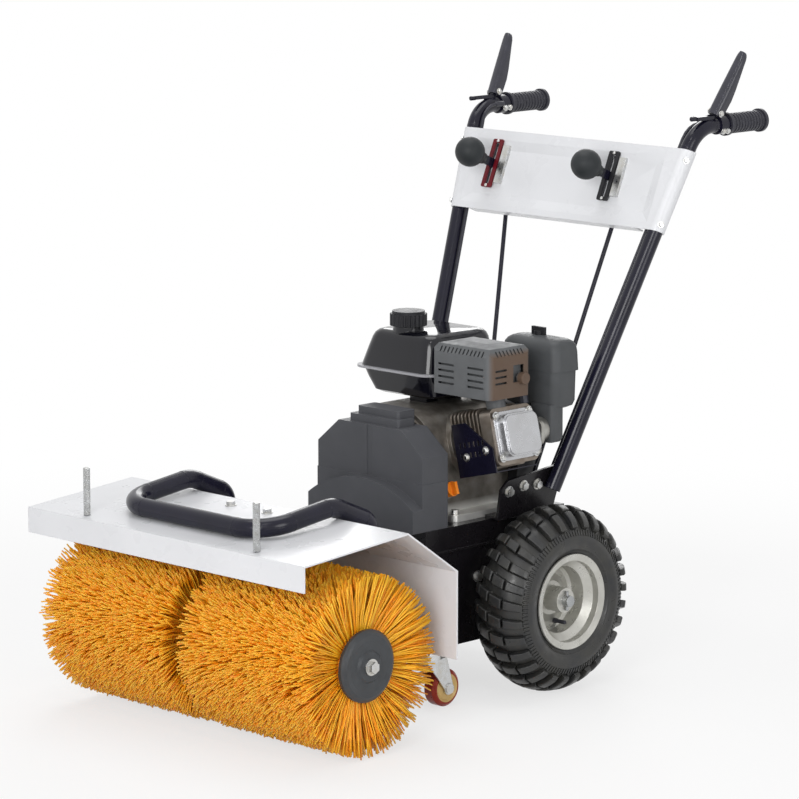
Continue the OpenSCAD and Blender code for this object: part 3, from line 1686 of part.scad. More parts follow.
module control_panel() {
  color("#eceded") in_panel() difference() {
    union() {
      // Front sheet, flaring upward with the tubes
      translate([0, -wrap_r + panel_tuck, 0]) along_y(panel_t) polygon([
        [-panel_half, 0],
        [panel_half, 0],
        [panel_half + panel_h * tan(panel_flare), panel_h],
        [-panel_half - panel_h * tan(panel_flare), panel_h]
      ]);
      both_sides() panel_wrap();
      // Folded edges above and below
      for (z = [0, panel_h - panel_t])
        translate([-panel_half + panel_flange_in, -wrap_r + panel_tuck, z])
          cube([2 * (panel_half - panel_flange_in), panel_flange, panel_t]);
      for (x = [gate_left_x, gate_right_x])
        translate([x, 0, gate_z]) pivot_tab();
    }
    for (x = [gate_left_x, gate_right_x])
      translate([x - gate_slot_w / 2, -wrap_r - overrun, gate_z - slot_half])
        cube([gate_slot_w, panel_t + 3 * overrun, 2 * slot_half]);
  }
}

// Edge of the panel, round the outside of a tube
module panel_wrap() {
  intersection() {
    translate([panel_half, 0, 0]) rotate([0, panel_flare, 0]) difference() {
      translate([0, 0, -panel_h]) cylinder(r = wrap_r, h = 3 * panel_h);
      translate([0, 0, -2 * panel_h]) cylinder(r = wrap_r - panel_t, h = 5 * panel_h);
      translate([-2 * wrap_r - wrap_lap, -2 * wrap_r, -2 * panel_h])
        cube([2 * wrap_r, 4 * wrap_r, 5 * panel_h]);
    }
    translate([0, -2 * wrap_r, 0]) cube([2 * panel_half, 4 * wrap_r, panel_h]);
  }
}

// Tab behind the panel with the pivot of a gate lever
module pivot_tab() {
  tab_x = -lever_bar_t / 2 - lever_play - pivot_tab_t;
  translate([tab_x, 0, 0]) along_x(pivot_tab_t) {
    translate([-wrap_r + panel_t / 2, -pivot_tab_w / 2])
      square([pivot_back + wrap_r - panel_t / 2, pivot_tab_w]);
    translate([pivot_back, 0]) circle(pivot_tab_w / 2);
  }
  translate([tab_x, pivot_back, 0])
    x_bar(pivot_r, pivot_tab_t + lever_bar_t + 2 * lever_play + pivot_head);
}

// Gate strips on the panel, each with a slot for its lever
strip_w = 25;
strip_l = 92;
strip_t = 3;
strip_round = 3;
module gate_strip(x, tint) {
  color(tint) in_panel() translate([x, -wrap_r + panel_tuck - strip_t, gate_z]) along_y(strip_t)
    difference() {
      rounded_rect(strip_w, strip_l, strip_round);
      square([gate_slot_w, 2 * slot_half], center = true);
    }
}

// Gate lever: a flat bar on the pivot, with a side pin for its rod and a stud for its knob
lever_bar_w = 16;
lever_front = 47;
knob_out = 83;
lever_stud_r = 4;
rod_arm = 40;
rod_gap = 5;
eye_t = 6;
module gate_lever(x) {
  reach = pivot_back + lever_front;
  color("#1a1b1d") in_panel() translate([x, pivot_back, gate_z]) {
    difference() {
      union() {
        translate([-lever_bar_t / 2, -reach, -lever_bar_w / 2]) cube([lever_bar_t, reach, lever_bar_w]);
        translate([-lever_bar_t / 2, 0, 0]) x_bar(lever_bar_w / 2, lever_bar_t);
      }
      translate([-lever_bar_t, 0, 0]) x_bar(pivot_r + run_fit, 2 * lever_bar_t);
    }
    translate([0, -rod_arm, 0]) x_bar(rod_r, lever_bar_t / 2 + 2 * rod_gap + eye_t);
    translate([0, -pivot_back - knob_out + overrun, 0])
      y_bar(lever_stud_r, knob_out - lever_front + overrun);
  }
}

// Ball knob with a tapered neck
neck_low_r = 8.5;
neck_high_r = 12;
module knob(x) {
  join = sqrt(knob_r * knob_r - neck_high_r * neck_high_r);
  color("#4c4e52") in_panel() translate([x, -lever_front - seat, gate_z]) rotate([90, 0, 0])
    difference() {
      union() {
        translate([0, 0, knob_out - lever_front]) sphere(knob_r);
        cylinder(r1 = neck_low_r, r2 = neck_high_r, h = knob_out - lever_front - join);
        translate([0, 0, knob_out - lever_front - join]) cylinder(r = neck_high_r, h = join);
      }
      translate([0, 0, -overrun])
        cylinder(r = lever_stud_r + run_fit, h = knob_out - lever_front + overrun);
    }
}

// Shift rods: from the pin of each gate lever down through the chassis top
function panel_point(x, y, z) = [
  x,
  panel_y + y * cos(lean) + z * sin(lean),
  panel_z - y * sin(lean) + z * cos(lean)
];
eye_x = lever_bar_t / 2 + rod_gap + eye_t / 2;
left_rod_top = panel_point(gate_left_x + eye_x, pivot_back - rod_arm, gate_z);
right_rod_top = panel_point(gate_right_x + eye_x, pivot_back - rod_arm, gate_z);
left_rod_low = [rod_low_x, rod_low_y, deck_z];
right_rod_low = [far_rod_low_x, far_rod_low_y, deck_z];
eye_slot = 5;
eye_wall = 4;
eye_play = 0.6;

module shift_rod(top, low) {
  down = unit(low - top);
  eye_half = rod_r + eye_play;
  eye_reach = eye_half + eye_wall;
  color("#2a2b2e") {
    difference() {
      bar_between(top + (eye_half + eye_wall / 2) * down, low + rod_reach * down, rod_r);
      rod_eye(top) square([2 * (eye_slot + eye_half), 2 * eye_half], center = true);
    }
    // Slotted eye that lets the lever pin swing
    rod_eye(top) difference() {
      rounded_rect(2 * (eye_slot + eye_reach), 2 * eye_reach, eye_wall);
      rounded_rect(2 * (eye_slot + eye_half), 2 * eye_half, eye_half - eye_play);
    }
  }
}

module rod_eye(top) {
  translate(top) rotate([-lean, 0, 0]) translate([-eye_t / 2, 0, 0]) along_x(eye_t) children();
}

// Clutch cables: beside each tube, then inward through the chassis top
ferrule_r = 5;
ferrule_l = 20;
cable_side = tube_r + ferrule_r + 2 * seat;
cable_bend_r = 40;
cable_leave_up = 150;
cable_turn_up = 40;
cable_end_up = 20;
module clutch_cables() {
  splay_in = [cos(splay), sin(splay)];
  leave = [-cable_side, tube_low_y + cable_leave_up * tan(plane_lean), cable_leave_up];
  drop_x = cable_low_x - tube_low_x;
  low = [
    drop_x * splay_in.x + (tube_low_z - deck_z) * splay_in.y,
    cable_low_y,
    drop_x * splay_in.y - (tube_low_z - deck_z) * splay_in.x
  ];
  up = [-sin(splay), 0, cos(splay)];
  color("#1d1e20")
    both_sides() handle_plane() cord([
        [-cable_side, lever_pivot_y, grip_up],
        [-cable_side, tube_corner_y, grip_up],
        leave,
        low + cable_turn_up * up,
        low - cable_end_up * up
      ], cable_r, cable_bend_r, ferrule_r, ferrule_l, [1, 0, 0]);
}

chassis();
belt_cover();
boom();
gear_case();
hood();
hood_studs();
bumper();
bolts();
axle();
rim(1);  // rim_left
rim(-1);  // rim_right
tyre(1);  // tyre_left
tyre(-1);  // tyre_right
valve_stems();
crank_pulley();
brush_belt();
brush_pulley();
brush_shaft();
bristles(1);  // bristles_left
bristles(-1);  // bristles_right
brush_disc(1);  // brush_disc_left
brush_disc(-1);  // brush_disc_right
brush_bolts();
castor_fork(1);  // castor_fork_left
castor_fork(-1);  // castor_fork_right
castor_wheel(1);  // castor_wheel_left
castor_wheel(-1);  // castor_wheel_right
crankcase();
cylinder_block();
valve_cover();
cylinder_shroud();
recoil_cover();
recoil_grip();
fuel_tank();
fuel_cap();
muffler();
air_cleaner_base();
air_cleaner_cover();
air_cleaner_knob();
carburettor();
spark_lead();
oil_cap();
handle_bracket(1);  // handle_bracket_left
handle_bracket(-1);  // handle_bracket_right
handle_tube(1);  // handle_tube_left
handle_tube(-1);  // handle_tube_right
grip(1);  // grip_left
grip(-1);  // grip_right
control_panel();
gate_strip(gate_left_x, "#1b1b1d");  // gate_strip_left
gate_strip(gate_right_x, "#b3202a");  // gate_strip_right
gate_lever(gate_left_x);  // gate_lever_left
gate_lever(gate_right_x);  // gate_lever_right
knob(gate_left_x);  // knob_left
knob(gate_right_x);  // knob_right
shift_rod(left_rod_top, left_rod_low);  // shift_rod_left
shift_rod(right_rod_top, right_rod_low);  // shift_rod_right
clutch_lever(1);  // clutch_lever_left
clutch_lever(-1);  // clutch_lever_right
clutch_cables();
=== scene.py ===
import json
import math

import bmesh
import bpy
import numpy as np
from mathutils import Euler, Matrix, Vector


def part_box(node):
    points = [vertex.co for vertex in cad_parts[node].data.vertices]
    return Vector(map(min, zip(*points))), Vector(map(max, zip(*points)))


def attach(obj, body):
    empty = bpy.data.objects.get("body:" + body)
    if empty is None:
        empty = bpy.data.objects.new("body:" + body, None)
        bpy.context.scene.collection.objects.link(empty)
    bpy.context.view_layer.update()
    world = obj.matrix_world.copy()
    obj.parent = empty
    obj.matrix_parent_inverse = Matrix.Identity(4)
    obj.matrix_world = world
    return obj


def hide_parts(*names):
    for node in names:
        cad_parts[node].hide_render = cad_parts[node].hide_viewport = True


# Looks of a walk-behind power brush sweeper. Metres, +X is the machine's left, the brush points to -Y.

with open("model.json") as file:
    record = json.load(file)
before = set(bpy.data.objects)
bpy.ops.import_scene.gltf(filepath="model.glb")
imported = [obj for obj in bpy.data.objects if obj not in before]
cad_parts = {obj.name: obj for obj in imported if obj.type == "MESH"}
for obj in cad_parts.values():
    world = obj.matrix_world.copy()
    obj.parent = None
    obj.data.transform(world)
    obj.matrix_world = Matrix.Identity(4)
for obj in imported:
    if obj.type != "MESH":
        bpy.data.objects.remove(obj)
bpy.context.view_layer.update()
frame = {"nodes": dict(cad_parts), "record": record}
NODES = frame["nodes"]
SIDES = {"left": 1.0, "right": -1.0}


def linear(code):
    """A colour written as #rrggbb, as linear red, green, blue and alpha by the sRGB curve."""
    shares = [int(code[i:i + 2], 16) / 255 for i in (1, 3, 5)]
    return [s / 12.92 if s <= 0.04045 else ((s + 0.055) / 1.055) ** 2.4 for s in shares] + [1.0]


# Camera at the photograph's viewing angle

CAMERA_PLACE = (4.7248, -4.8196, 1.6925)
CAMERA_TILT = math.radians(80.019)
CAMERA_YAW = math.radians(44.701)
CAMERA_LENS = 176.2
CAMERA_SENSOR = 36.0
CAMERA_REACH = 100.0


def add_camera():
    data = bpy.data.cameras.new("camera")
    data.lens = CAMERA_LENS
    data.sensor_width = CAMERA_SENSOR
    data.clip_end = CAMERA_REACH
    camera = bpy.data.objects.new("camera", data)
    camera.location = CAMERA_PLACE
    camera.rotation_euler = Euler((CAMERA_TILT, 0.0, CAMERA_YAW))
    bpy.context.scene.collection.objects.link(camera)
    bpy.context.scene.camera = camera


# Studio: soft lamps, a white world and a floor that fades to white

LAMPS = {
    "key": {"place": (2.2, -4.4, 2.0), "size": 2.4, "power": 106.0},
    "side": {"place": (4.6, -0.9, 1.5), "size": 2.2, "power": 44.0},
    "top": {"place": (-0.6, 0.2, 4.4), "size": 3.0, "power": 60.0},
    "back": {"place": (-2.6, 3.2, 2.4), "size": 2.2, "power": 40.0},
    "glint": {"place": (1.9, -2.6, 4.4), "size": 0.5, "power": 12.0},
}
LAMP_AIM = (0.0, -0.05, 0.45)
WORLD_LIGHT = 0.35
FLOOR_SIZE = 120.0
FLOOR_FADE_NEAR = 0.9
FLOOR_FADE_FAR = 2.2
FLOOR_WHITE_SHARE = 0.68
FLOOR_COLOUR = "#f4f4f4"
FLOOR_ROUGHNESS = 0.7
FLOOR_SHINE = 0.2


def add_lamps():
    for name, lamp in LAMPS.items():
        data = bpy.data.lights.new(name, "AREA")
        data.shape = "DISK"
        data.size = lamp["size"]
        data.energy = lamp["power"]
        obj = bpy.data.objects.new(name, data)
        obj.location = lamp["place"]
        obj.rotation_euler = (Vector(LAMP_AIM) - obj.location).to_track_quat("-Z", "Y").to_euler()
        bpy.context.scene.collection.objects.link(obj)


def seen_ray(tree):
    """A value that is 1 for rays that show the background: camera, glossy and transmission rays."""
    path = tree.nodes.new("ShaderNodeLightPath")
    first = tree.nodes.new("ShaderNodeMath")
    first.operation = "MAXIMUM"
    second = tree.nodes.new("ShaderNodeMath")
    second.operation = "MAXIMUM"
    tree.links.new(path.outputs["Is Camera Ray"], first.inputs[0])
    tree.links.new(path.outputs["Is Glossy Ray"], first.inputs[1])
    tree.links.new(first.outputs[0], second.inputs[0])
    tree.links.new(path.outputs["Is Transmission Ray"], second.inputs[1])
    return second.outputs[0]


def add_world():
    world = bpy.data.worlds.new("studio")
    bpy.context.scene.world = world
    world.use_nodes = True
    tree = world.node_tree
    light = tree.nodes["Background"]
    light.inputs["Color"].default_value = (1.0, 1.0, 1.0, 1.0)
    strength = tree.nodes.new("ShaderNodeMapRange")
    strength.inputs["To Min"].default_value = WORLD_LIGHT
    strength.inputs["To Max"].default_value = 1.0
    tree.links.new(seen_ray(tree), strength.inputs["Value"])
    tree.links.new(strength.outputs[0], light.inputs["Strength"])


def floor_material():
    """A matte floor that keeps the shadow and fades to white away from the machine."""
    material = bpy.data.materials.new("floor")
    material.use_nodes = True
    tree = material.node_tree
    matte = tree.nodes["Principled BSDF"]
    matte.inputs["Base Color"].default_value = linear(FLOOR_COLOUR)
    matte.inputs["Roughness"].default_value = FLOOR_ROUGHNESS
    matte.inputs["Specular IOR Level"].default_value = FLOOR_SHINE
    glow = tree.nodes.new("ShaderNodeEmission")
    place = tree.nodes.new("ShaderNodeTexCoord")
    distance = tree.nodes.new("ShaderNodeVectorMath")
    distance.operation = "LENGTH"
    fade = tree.nodes.new("ShaderNodeMapRange")
    fade.interpolation_type = "SMOOTHSTEP"
    fade.inputs["From Min"].default_value = FLOOR_FADE_NEAR
    fade.inputs["From Max"].default_value = FLOOR_FADE_FAR
    fade.inputs["To Min"].default_value = FLOOR_WHITE_SHARE
    share = tree.nodes.new("ShaderNodeMath")
    share.operation = "MULTIPLY"
    mix = tree.nodes.new("ShaderNodeMixShader")
    tree.links.new(place.outputs["Object"], distance.inputs[0])
    tree.links.new(distance.outputs["Value"], fade.inputs["Value"])
    tree.links.new(fade.outputs[0], share.inputs[0])
    tree.links.new(seen_ray(tree), share.inputs[1])
    tree.links.new(share.outputs[0], mix.inputs[0])
    tree.links.new(matte.outputs[0], mix.inputs[1])
    tree.links.new(glow.outputs[0], mix.inputs[2])
    tree.links.new(mix.outputs[0], tree.nodes["Material Output"].inputs["Surface"])
    return material


def add_floor():
    half = FLOOR_SIZE / 2
    corners = [(-half, -half, 0), (half, -half, 0), (half, half, 0), (-half, half, 0)]
    mesh = bpy.data.meshes.new("floor")
    mesh.from_pydata(corners, [], [(0, 1, 2, 3)])
    mesh.materials.append(floor_material())
    floor = bpy.data.objects.new("floor", mesh)
    bpy.context.scene.collection.objects.link(floor)


# Procedural materials

EDGE_R = 0.0012
EDGE_SAMPLES = 6
SHINE = 0.25
METAL_SHINE = 0.5
NOISE_LOW = 0.3
NOISE_HIGH = 0.7
COLOUR_DETAIL = 3.0
GRAIN_DETAIL = 2.0


class Look:
    """One procedural material: a shader and the textures that feed it, in object coordinates."""

    def __init__(self, name, colour, roughness, metallic=0.0, edge=EDGE_R, shine=SHINE):
        self.material = bpy.data.materials.new(name)
        self.material.use_nodes = True
        self.tree = self.material.node_tree
        self.shader = self.tree.nodes["Principled BSDF"]
        self.colour = linear(colour)
        self.shader.inputs["Base Color"].default_value = self.colour
        self.shader.inputs["Roughness"].default_value = roughness
        self.shader.inputs["Metallic"].default_value = metallic
        self.shader.inputs["Specular IOR Level"].default_value = METAL_SHINE if metallic else shine
        self.place = self.add("ShaderNodeTexCoord").outputs["Object"]
        self.normal = None
        if edge:
            rounding = self.add("ShaderNodeBevel")
            rounding.samples = EDGE_SAMPLES
            rounding.inputs["Radius"].default_value = edge
            self.use_normal(rounding.outputs["Normal"])

    def add(self, kind):
        return self.tree.nodes.new(kind)

    def link(self, start, end):
        self.tree.links.new(start, end)

    def use_normal(self, output):
        self.normal = output
        self.link(output, self.shader.inputs["Normal"])

    def set(self, **values):
        """Sets shader sockets; an underscore in a name stands for a space."""
        for name, value in values.items():
            self.shader.inputs[name.replace("_", " ")].default_value = value

    def noise(self, size, detail=COLOUR_DETAIL, stretch=None):
        """A noise whose grains are about size metres across."""
        texture = self.add("ShaderNodeTexNoise")
        texture.inputs["Scale"].default_value = 1.0 / size
        texture.inputs["Detail"].default_value = detail
        place = self.place
        if stretch:
            mapping = self.add("ShaderNodeMapping")
            mapping.inputs["Scale"].default_value = stretch
            self.link(place, mapping.inputs["Vector"])
            place = mapping.outputs[0]
        self.link(place, texture.inputs["Vector"])
        return texture.outputs["Fac"]

    def span(self, value, low, high, start=NOISE_LOW, end=NOISE_HIGH):
        """The value from start to end, mapped to low to high."""
        node = self.add("ShaderNodeMapRange")
        node.inputs["From Min"].default_value = start
        node.inputs["From Max"].default_value = end
        node.inputs["To Min"].default_value = low
        node.inputs["To Max"].default_value = high
        self.link(value, node.inputs["Value"])
        return node.outputs[0]

    def tint(self, colour, share):
        """Mixes another colour over the base colour by a share between 0 and 1."""
        mix = self.add("ShaderNodeMix")
        mix.data_type = "RGBA"
        base = self.shader.inputs["Base Color"]
        if base.is_linked:
            self.link(base.links[0].from_socket, mix.inputs["A"])
        else:
            mix.inputs[6].default_value = self.colour
        mix.inputs[7].default_value = linear(colour)
        self.link(share, mix.inputs["Factor"])
        self.link(mix.outputs[2], base)

    def mottle(self, colour, size, amount):
        """Patches of another colour, of that size, up to that share."""
        self.tint(colour, self.span(self.noise(size), 0.0, amount))

    def gloss(self, low, high, size):
        """Roughness that wanders from low to high in patches of that size."""
        self.link(self.span(self.noise(size), low, high), self.shader.inputs["Roughness"])

    def grain(self, size, depth, stretch=None):
        """A bump of that depth in metres, with grains of that size."""
        self.relief(self.noise(size, GRAIN_DETAIL, stretch), depth)

    def relief(self, height, depth):
        bump = self.add("ShaderNodeBump")
        bump.inputs["Strength"].default_value = 1.0
        bump.inputs["Distance"].default_value = depth
        self.link(height, bump.inputs["Height"])
        if self.normal:
            self.link(self.normal, bump.inputs["Normal"])
        self.use_normal(bump.outputs["Normal"])

    def axis_distance(self, centre):
        """Distance in metres from a line along X through the centre."""
        shift = self.add("ShaderNodeVectorMath")
        shift.operation = "SUBTRACT"
        shift.inputs[1].default_value = centre
        flat = self.add("ShaderNodeVectorMath")
        flat.operation = "MULTIPLY"
        flat.inputs[1].default_value = (0.0, 1.0, 1.0)
        length = self.add("ShaderNodeVectorMath")
        length.operation = "LENGTH"
        self.link(self.place, shift.inputs[0])
        self.link(shift.outputs[0], flat.inputs[0])
        self.link(flat.outputs[0], length.inputs[0])
        return length.outputs["Value"]

    def along(self, axis):
        """The coordinate along X, Y or Z."""
        split = self.add("ShaderNodeSeparateXYZ")
        self.link(self.place, split.inputs[0])
        return split.outputs[axis]

    def band(self, axis, middle, half):
        """1 within half of a place along an axis, and 0 outside."""
        away = self.add("ShaderNodeMath")
        away.operation = "COMPARE"
        away.inputs[1].default_value = middle
        away.inputs[2].default_value = half
        self.link(self.along(axis), away.inputs[0])
        return away.outputs[0]

    def ridges(self, axis, pitch):
        """A wave between 0 and 1 that repeats at that pitch along an axis."""
        wave = self.add("ShaderNodeMath")
        wave.operation = "PINGPONG"
        wave.inputs[1].default_value = pitch / 2
        self.link(self.along(axis), wave.inputs[0])
        return self.span(wave.outputs[0], 0.0, 1.0, 0.0, pitch / 2)


# Finishes: mottle (colour, size, share), gloss (low, high, size) and grain (size, depth, stretch)

TURNED_STRETCH = (0.1, 1.0, 1.0)
FINISHES = {
    "black_paint": {
        "base": {"colour": "#12111f", "roughness": 0.2, "shine": 0.32},
        "mottle": ("#181728", 0.05, 1.0), "gloss": (0.16, 0.25, 0.03), "grain": (0.0022, 0.00002),
    },
    "chassis_paint": {
        "base": {"colour": "#151316", "roughness": 0.26, "shine": 0.32},
        "mottle": ("#1b191c", 0.05, 1.0), "gloss": (0.2, 0.32, 0.03), "grain": (0.0022, 0.00002),
    },
    # The levers' black paint lightened to grey: a painted sheen that stands in for the light bands on their
    # gloss
    "lever_sheen_paint": {
        "base": {"colour": "#2c2c35", "roughness": 0.2, "shine": 0.5},
        "mottle": ("#353540", 0.02, 0.8), "gloss": (0.16, 0.26, 0.02), "grain": (0.0022, 0.00002),
    },
    "white_paint": {
        "base": {"colour": "#e6e7ea", "roughness": 0.3},
        "mottle": ("#dedfe2", 0.12, 0.7), "gloss": (0.24, 0.36, 0.05), "grain": (0.003, 0.00002),
    },
    "rim_paint": {
        "base": {"colour": "#c4c3bd", "roughness": 0.3, "metallic": 0.6},
        "mottle": ("#aaa9a2", 0.03, 0.7), "gloss": (0.24, 0.4, 0.02), "grain": (0.0012, 0.00002),
    },
    "zinc": {
        "base": {"colour": "#cfd1d3", "roughness": 0.3, "metallic": 1.0, "edge": 0.0006},
        "mottle": ("#b9b3a5", 0.012, 0.6), "gloss": (0.2, 0.42, 0.006), "grain": (0.0012, 0.00001),
    },
    "stud_zinc": {
        "base": {"colour": "#cfd1d3", "roughness": 0.26, "metallic": 1.0, "edge": 0.0},
        "mottle": ("#a9a7a0", 0.01, 0.6), "gloss": (0.2, 0.36, 0.006),
    },
    "bare_steel": {
        "base": {"colour": "#aeb0b1", "roughness": 0.28, "metallic": 1.0, "edge": 0.0008},
        "mottle": ("#8f9193", 0.02, 0.7), "gloss": (0.2, 0.36, 0.01),
        "grain": (0.0008, 0.00001, TURNED_STRETCH),
    },
    "cast_iron": {
        "base": {"colour": "#4c4d4f", "roughness": 0.55, "metallic": 0.7},
        "mottle": ("#5b554d", 0.02, 0.7), "gloss": (0.45, 0.65, 0.01), "grain": (0.002, 0.0001),
    },
    "engine_alloy": {
        "base": {"colour": "#b3b2ad", "roughness": 0.38, "metallic": 0.85},
        "mottle": ("#8d8a83", 0.02, 0.8), "gloss": (0.3, 0.5, 0.008), "grain": (0.0016, 0.00008),
    },
    "case_alloy": {
        "base": {"colour": "#96918a", "roughness": 0.42, "metallic": 0.7},
        "mottle": ("#6f6860", 0.02, 0.8), "gloss": (0.3, 0.5, 0.008), "grain": (0.0016, 0.00008),
    },
    "fin_alloy": {
        "base": {"colour": "#8f877e", "roughness": 0.4, "metallic": 0.8, "edge": 0.0006},
        "mottle": ("#73665a", 0.02, 0.8), "gloss": (0.32, 0.5, 0.008), "grain": (0.0016, 0.00006),
    },
    "bright_alloy": {
        "base": {"colour": "#bfc0c3", "roughness": 0.3, "metallic": 0.9, "edge": 0.002},
        "mottle": ("#b2b2b3", 0.03, 0.7), "gloss": (0.22, 0.36, 0.015), "grain": (0.006, 0.00001),
    },
    "muffler_steel": {
        "base": {"colour": "#5b5d5f", "roughness": 0.46},
        "mottle": ("#66686a", 0.03, 0.8), "gloss": (0.38, 0.52, 0.01), "grain": (0.0012, 0.00004),
    },
    "tyre": {
        "base": {"colour": "#212224", "roughness": 0.38, "edge": 0.002, "shine": 0.5},
        "mottle": ("#302f2b", 0.025, 0.9), "gloss": (0.26, 0.5, 0.012), "grain": (0.0016, 0.00008),
    },
    "black_rubber": {
        "base": {"colour": "#2e2e36", "roughness": 0.42, "shine": 0.35},
        "mottle": ("#383840", 0.01, 0.8), "gloss": (0.34, 0.52, 0.008), "grain": (0.001, 0.00004),
    },
    "bristle": {
        "base": {"colour": "#ffb014", "roughness": 0.42, "edge": 0.0, "shine": 0.5},
        "gloss": (0.34, 0.5, 0.004),
    },
    "castor": {
        "base": {"colour": "#8c2716", "roughness": 0.3},
        "mottle": ("#a2361f", 0.012, 0.7), "gloss": (0.24, 0.4, 0.006), "grain": (0.002, 0.00003),
    },
    "cover_plastic": {
        "base": {"colour": "#48494d", "roughness": 0.46},
        "mottle": ("#525357", 0.09, 0.8), "gloss": (0.4, 0.54, 0.04), "grain": (0.0009, 0.00006),
    },
    "black_plastic": {
        "base": {"colour": "#1d1d20", "roughness": 0.42},
        "mottle": ("#26262a", 0.03, 0.8), "gloss": (0.36, 0.5, 0.02), "grain": (0.001, 0.00005),
    },
    "disc_plastic": {
        "base": {"colour": "#37393c", "roughness": 0.4, "edge": 0.0008, "shine": 0.35},
        "mottle": ("#404346", 0.02, 0.8), "gloss": (0.34, 0.48, 0.02), "grain": (0.001, 0.00004),
    },
    "tank_black": {
        "base": {"colour": "#0b0b12", "roughness": 0.1, "edge": 0.002, "shine": 0.45},
        "mottle": ("#101018", 0.06, 0.8), "gloss": (0.06, 0.13, 0.03), "grain": (0.006, 0.00002),
    },
    "grey_plastic": {
        "base": {"colour": "#47494b", "roughness": 0.44},
        "mottle": ("#515355", 0.04, 0.8), "gloss": (0.38, 0.52, 0.02), "grain": (0.0009, 0.00005),
    },
    "knob_plastic": {
        "base": {"colour": "#26292b", "roughness": 0.5},
        "mottle": ("#2f3234", 0.02, 0.8), "gloss": (0.44, 0.58, 0.01), "grain": (0.0009, 0.00005),
    },
    "red_plastic": {
        "base": {"colour": "#620d19", "roughness": 0.32},
        "mottle": ("#731421", 0.02, 0.7), "gloss": (0.26, 0.4, 0.01), "grain": (0.001, 0.00002),
    },
    "orange_plastic": {
        "base": {"colour": "#f7831a", "roughness": 0.34},
        "mottle": ("#fd9a30", 0.008, 0.7), "gloss": (0.28, 0.42, 0.006), "grain": (0.0012, 0.00003),
    },
}
# Nodes whose finish is not that of their material slot
NODE_FINISHES = {
    "chassis": "chassis_paint", "hood_studs": "stud_zinc", "crankcase": "case_alloy",
    "cylinder_block": "fin_alloy", "valve_cover": "bright_alloy",
    "handle_bracket_left": "chassis_paint", "handle_bracket_right": "chassis_paint",
    "brush_disc_left": "disc_plastic", "brush_disc_right": "disc_plastic",
    "castor_wheel_left": "castor", "castor_wheel_right": "castor",
}
COAT_SHARE = 0.15
COAT_ROUGHNESS = 0.15
STUD_PITCH = 0.0018
TONE_MIDDLE = 0.35
TONE_LIGHT = "#ffca38"
TONE_DARK = "#fb990c"
# Painted highlight on the fuel tank: a light grey band of colour along its seam flange
SEAM_Z = 0.5495
SEAM_HALF = 0.0022
SEAM_HIGHLIGHT_COLOUR = "#a3a3a8"
CASTOR_HUB_R = (0.0245, 0.0255)
CASTOR_HUB_COLOUR = "#d9b878"
# Crankcase foot: a near-white band that fades out upwards, partly its bright bare alloy and partly painted
# light that lifts it out of the cover's shade
FOOT_LIGHT_REACH = 0.014
FOOT_LIGHT_FADE = 0.014
FOOT_LIGHT_COLOUR = "#e9e8e4"
HEAT_REACH = 0.006
HEAT_SHARE = 0.75
HEAT_COLOUR = "#5f4630"


def plain_look(name):
    """A look with the base, patches, gloss and grain of its row in FINISHES."""
    row = FINISHES[name]
    look = Look(name, **row["base"])
    if "mottle" in row:
        look.mottle(*row["mottle"])
    look.gloss(*row["gloss"])
    if "grain" in row:
        look.grain(*row["grain"])
    return look


def add_stud_thread(look):
    look.relief(look.ridges("Z", STUD_PITCH), STUD_PITCH / 2)


def add_bristle_tones(look):
    """Lighter and darker bristles, by the tone that each bristle's points carry."""
    tone = look.add("ShaderNodeAttribute")
    tone.attribute_name = "tone"
    look.tint(TONE_LIGHT, look.span(tone.outputs["Fac"], 0.0, 1.0, TONE_MIDDLE, 1.0))
    look.tint(TONE_DARK, look.span(tone.outputs["Fac"], 1.0, 0.0, 0.0, TONE_MIDDLE))


def add_tank_seam_highlight(look):
    # Paints a highlight along the seam as a light grey band
    look.tint(SEAM_HIGHLIGHT_COLOUR, look.band("Z", SEAM_Z, SEAM_HALF))


def add_castor_hub(look):
    """A pale hub; both wheels turn on one line at rest, so the left one gives its place."""
    low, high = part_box("castor_wheel_left")
    distance = look.axis_distance((low + high) / 2)
    look.tint(CASTOR_HUB_COLOUR, look.span(distance, 1.0, 0.0, *CASTOR_HUB_R))


def add_foot_painted_light(look):
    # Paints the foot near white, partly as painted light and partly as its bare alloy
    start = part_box("crankcase")[0].z + FOOT_LIGHT_REACH
    look.tint(FOOT_LIGHT_COLOUR, look.span(look.along("Z"), 1.0, 0.0, start, start + FOOT_LIGHT_FADE))


def add_heat_tint(look):
    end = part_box("muffler")[1].x
    look.tint(HEAT_COLOUR, look.span(look.along("X"), 0.0, HEAT_SHARE, end - HEAT_REACH, end))


def paint_nodes():
    looks = {name: plain_look(name) for name in FINISHES}
    looks["white_paint"].set(Coat_Weight=COAT_SHARE, Coat_Roughness=COAT_ROUGHNESS)
    add_stud_thread(looks["stud_zinc"])
    add_bristle_tones(looks["bristle"])
    add_tank_seam_highlight(looks["tank_black"])
    add_castor_hub(looks["castor"])
    add_foot_painted_light(looks["case_alloy"])
    add_heat_tint(looks["muffler_steel"])
    finishes = {name: look.material for name, look in looks.items()}
    for part in frame["record"]["subparts"]:
        node = part["node"]
        slots = NODES[node].data.materials
        slots.clear()
        slots.append(finishes[NODE_FINISHES.get(node, part["material_slot"])])
    return finishes


# Brush: two sections of fine bristles that fan out from rings on a drum

SECTION_RINGS = 7
RING_STRANDS = 1600
STRAND_R = 0.0015
STRAND_SIDES = 3
STRAND_RINGS = 4
CORE_R = 0.052
CORE_SIDES = 48
ROOT_SPREAD = 0.3
TIP_FAN = 0.62
TIP_SPLAY = 0.012
TIP_SHORT = 0.006
TIP_TURN = 2.4
TIP_BEND = 1.3
CRIMP = 0.0012
BRUSH_SEED = 11


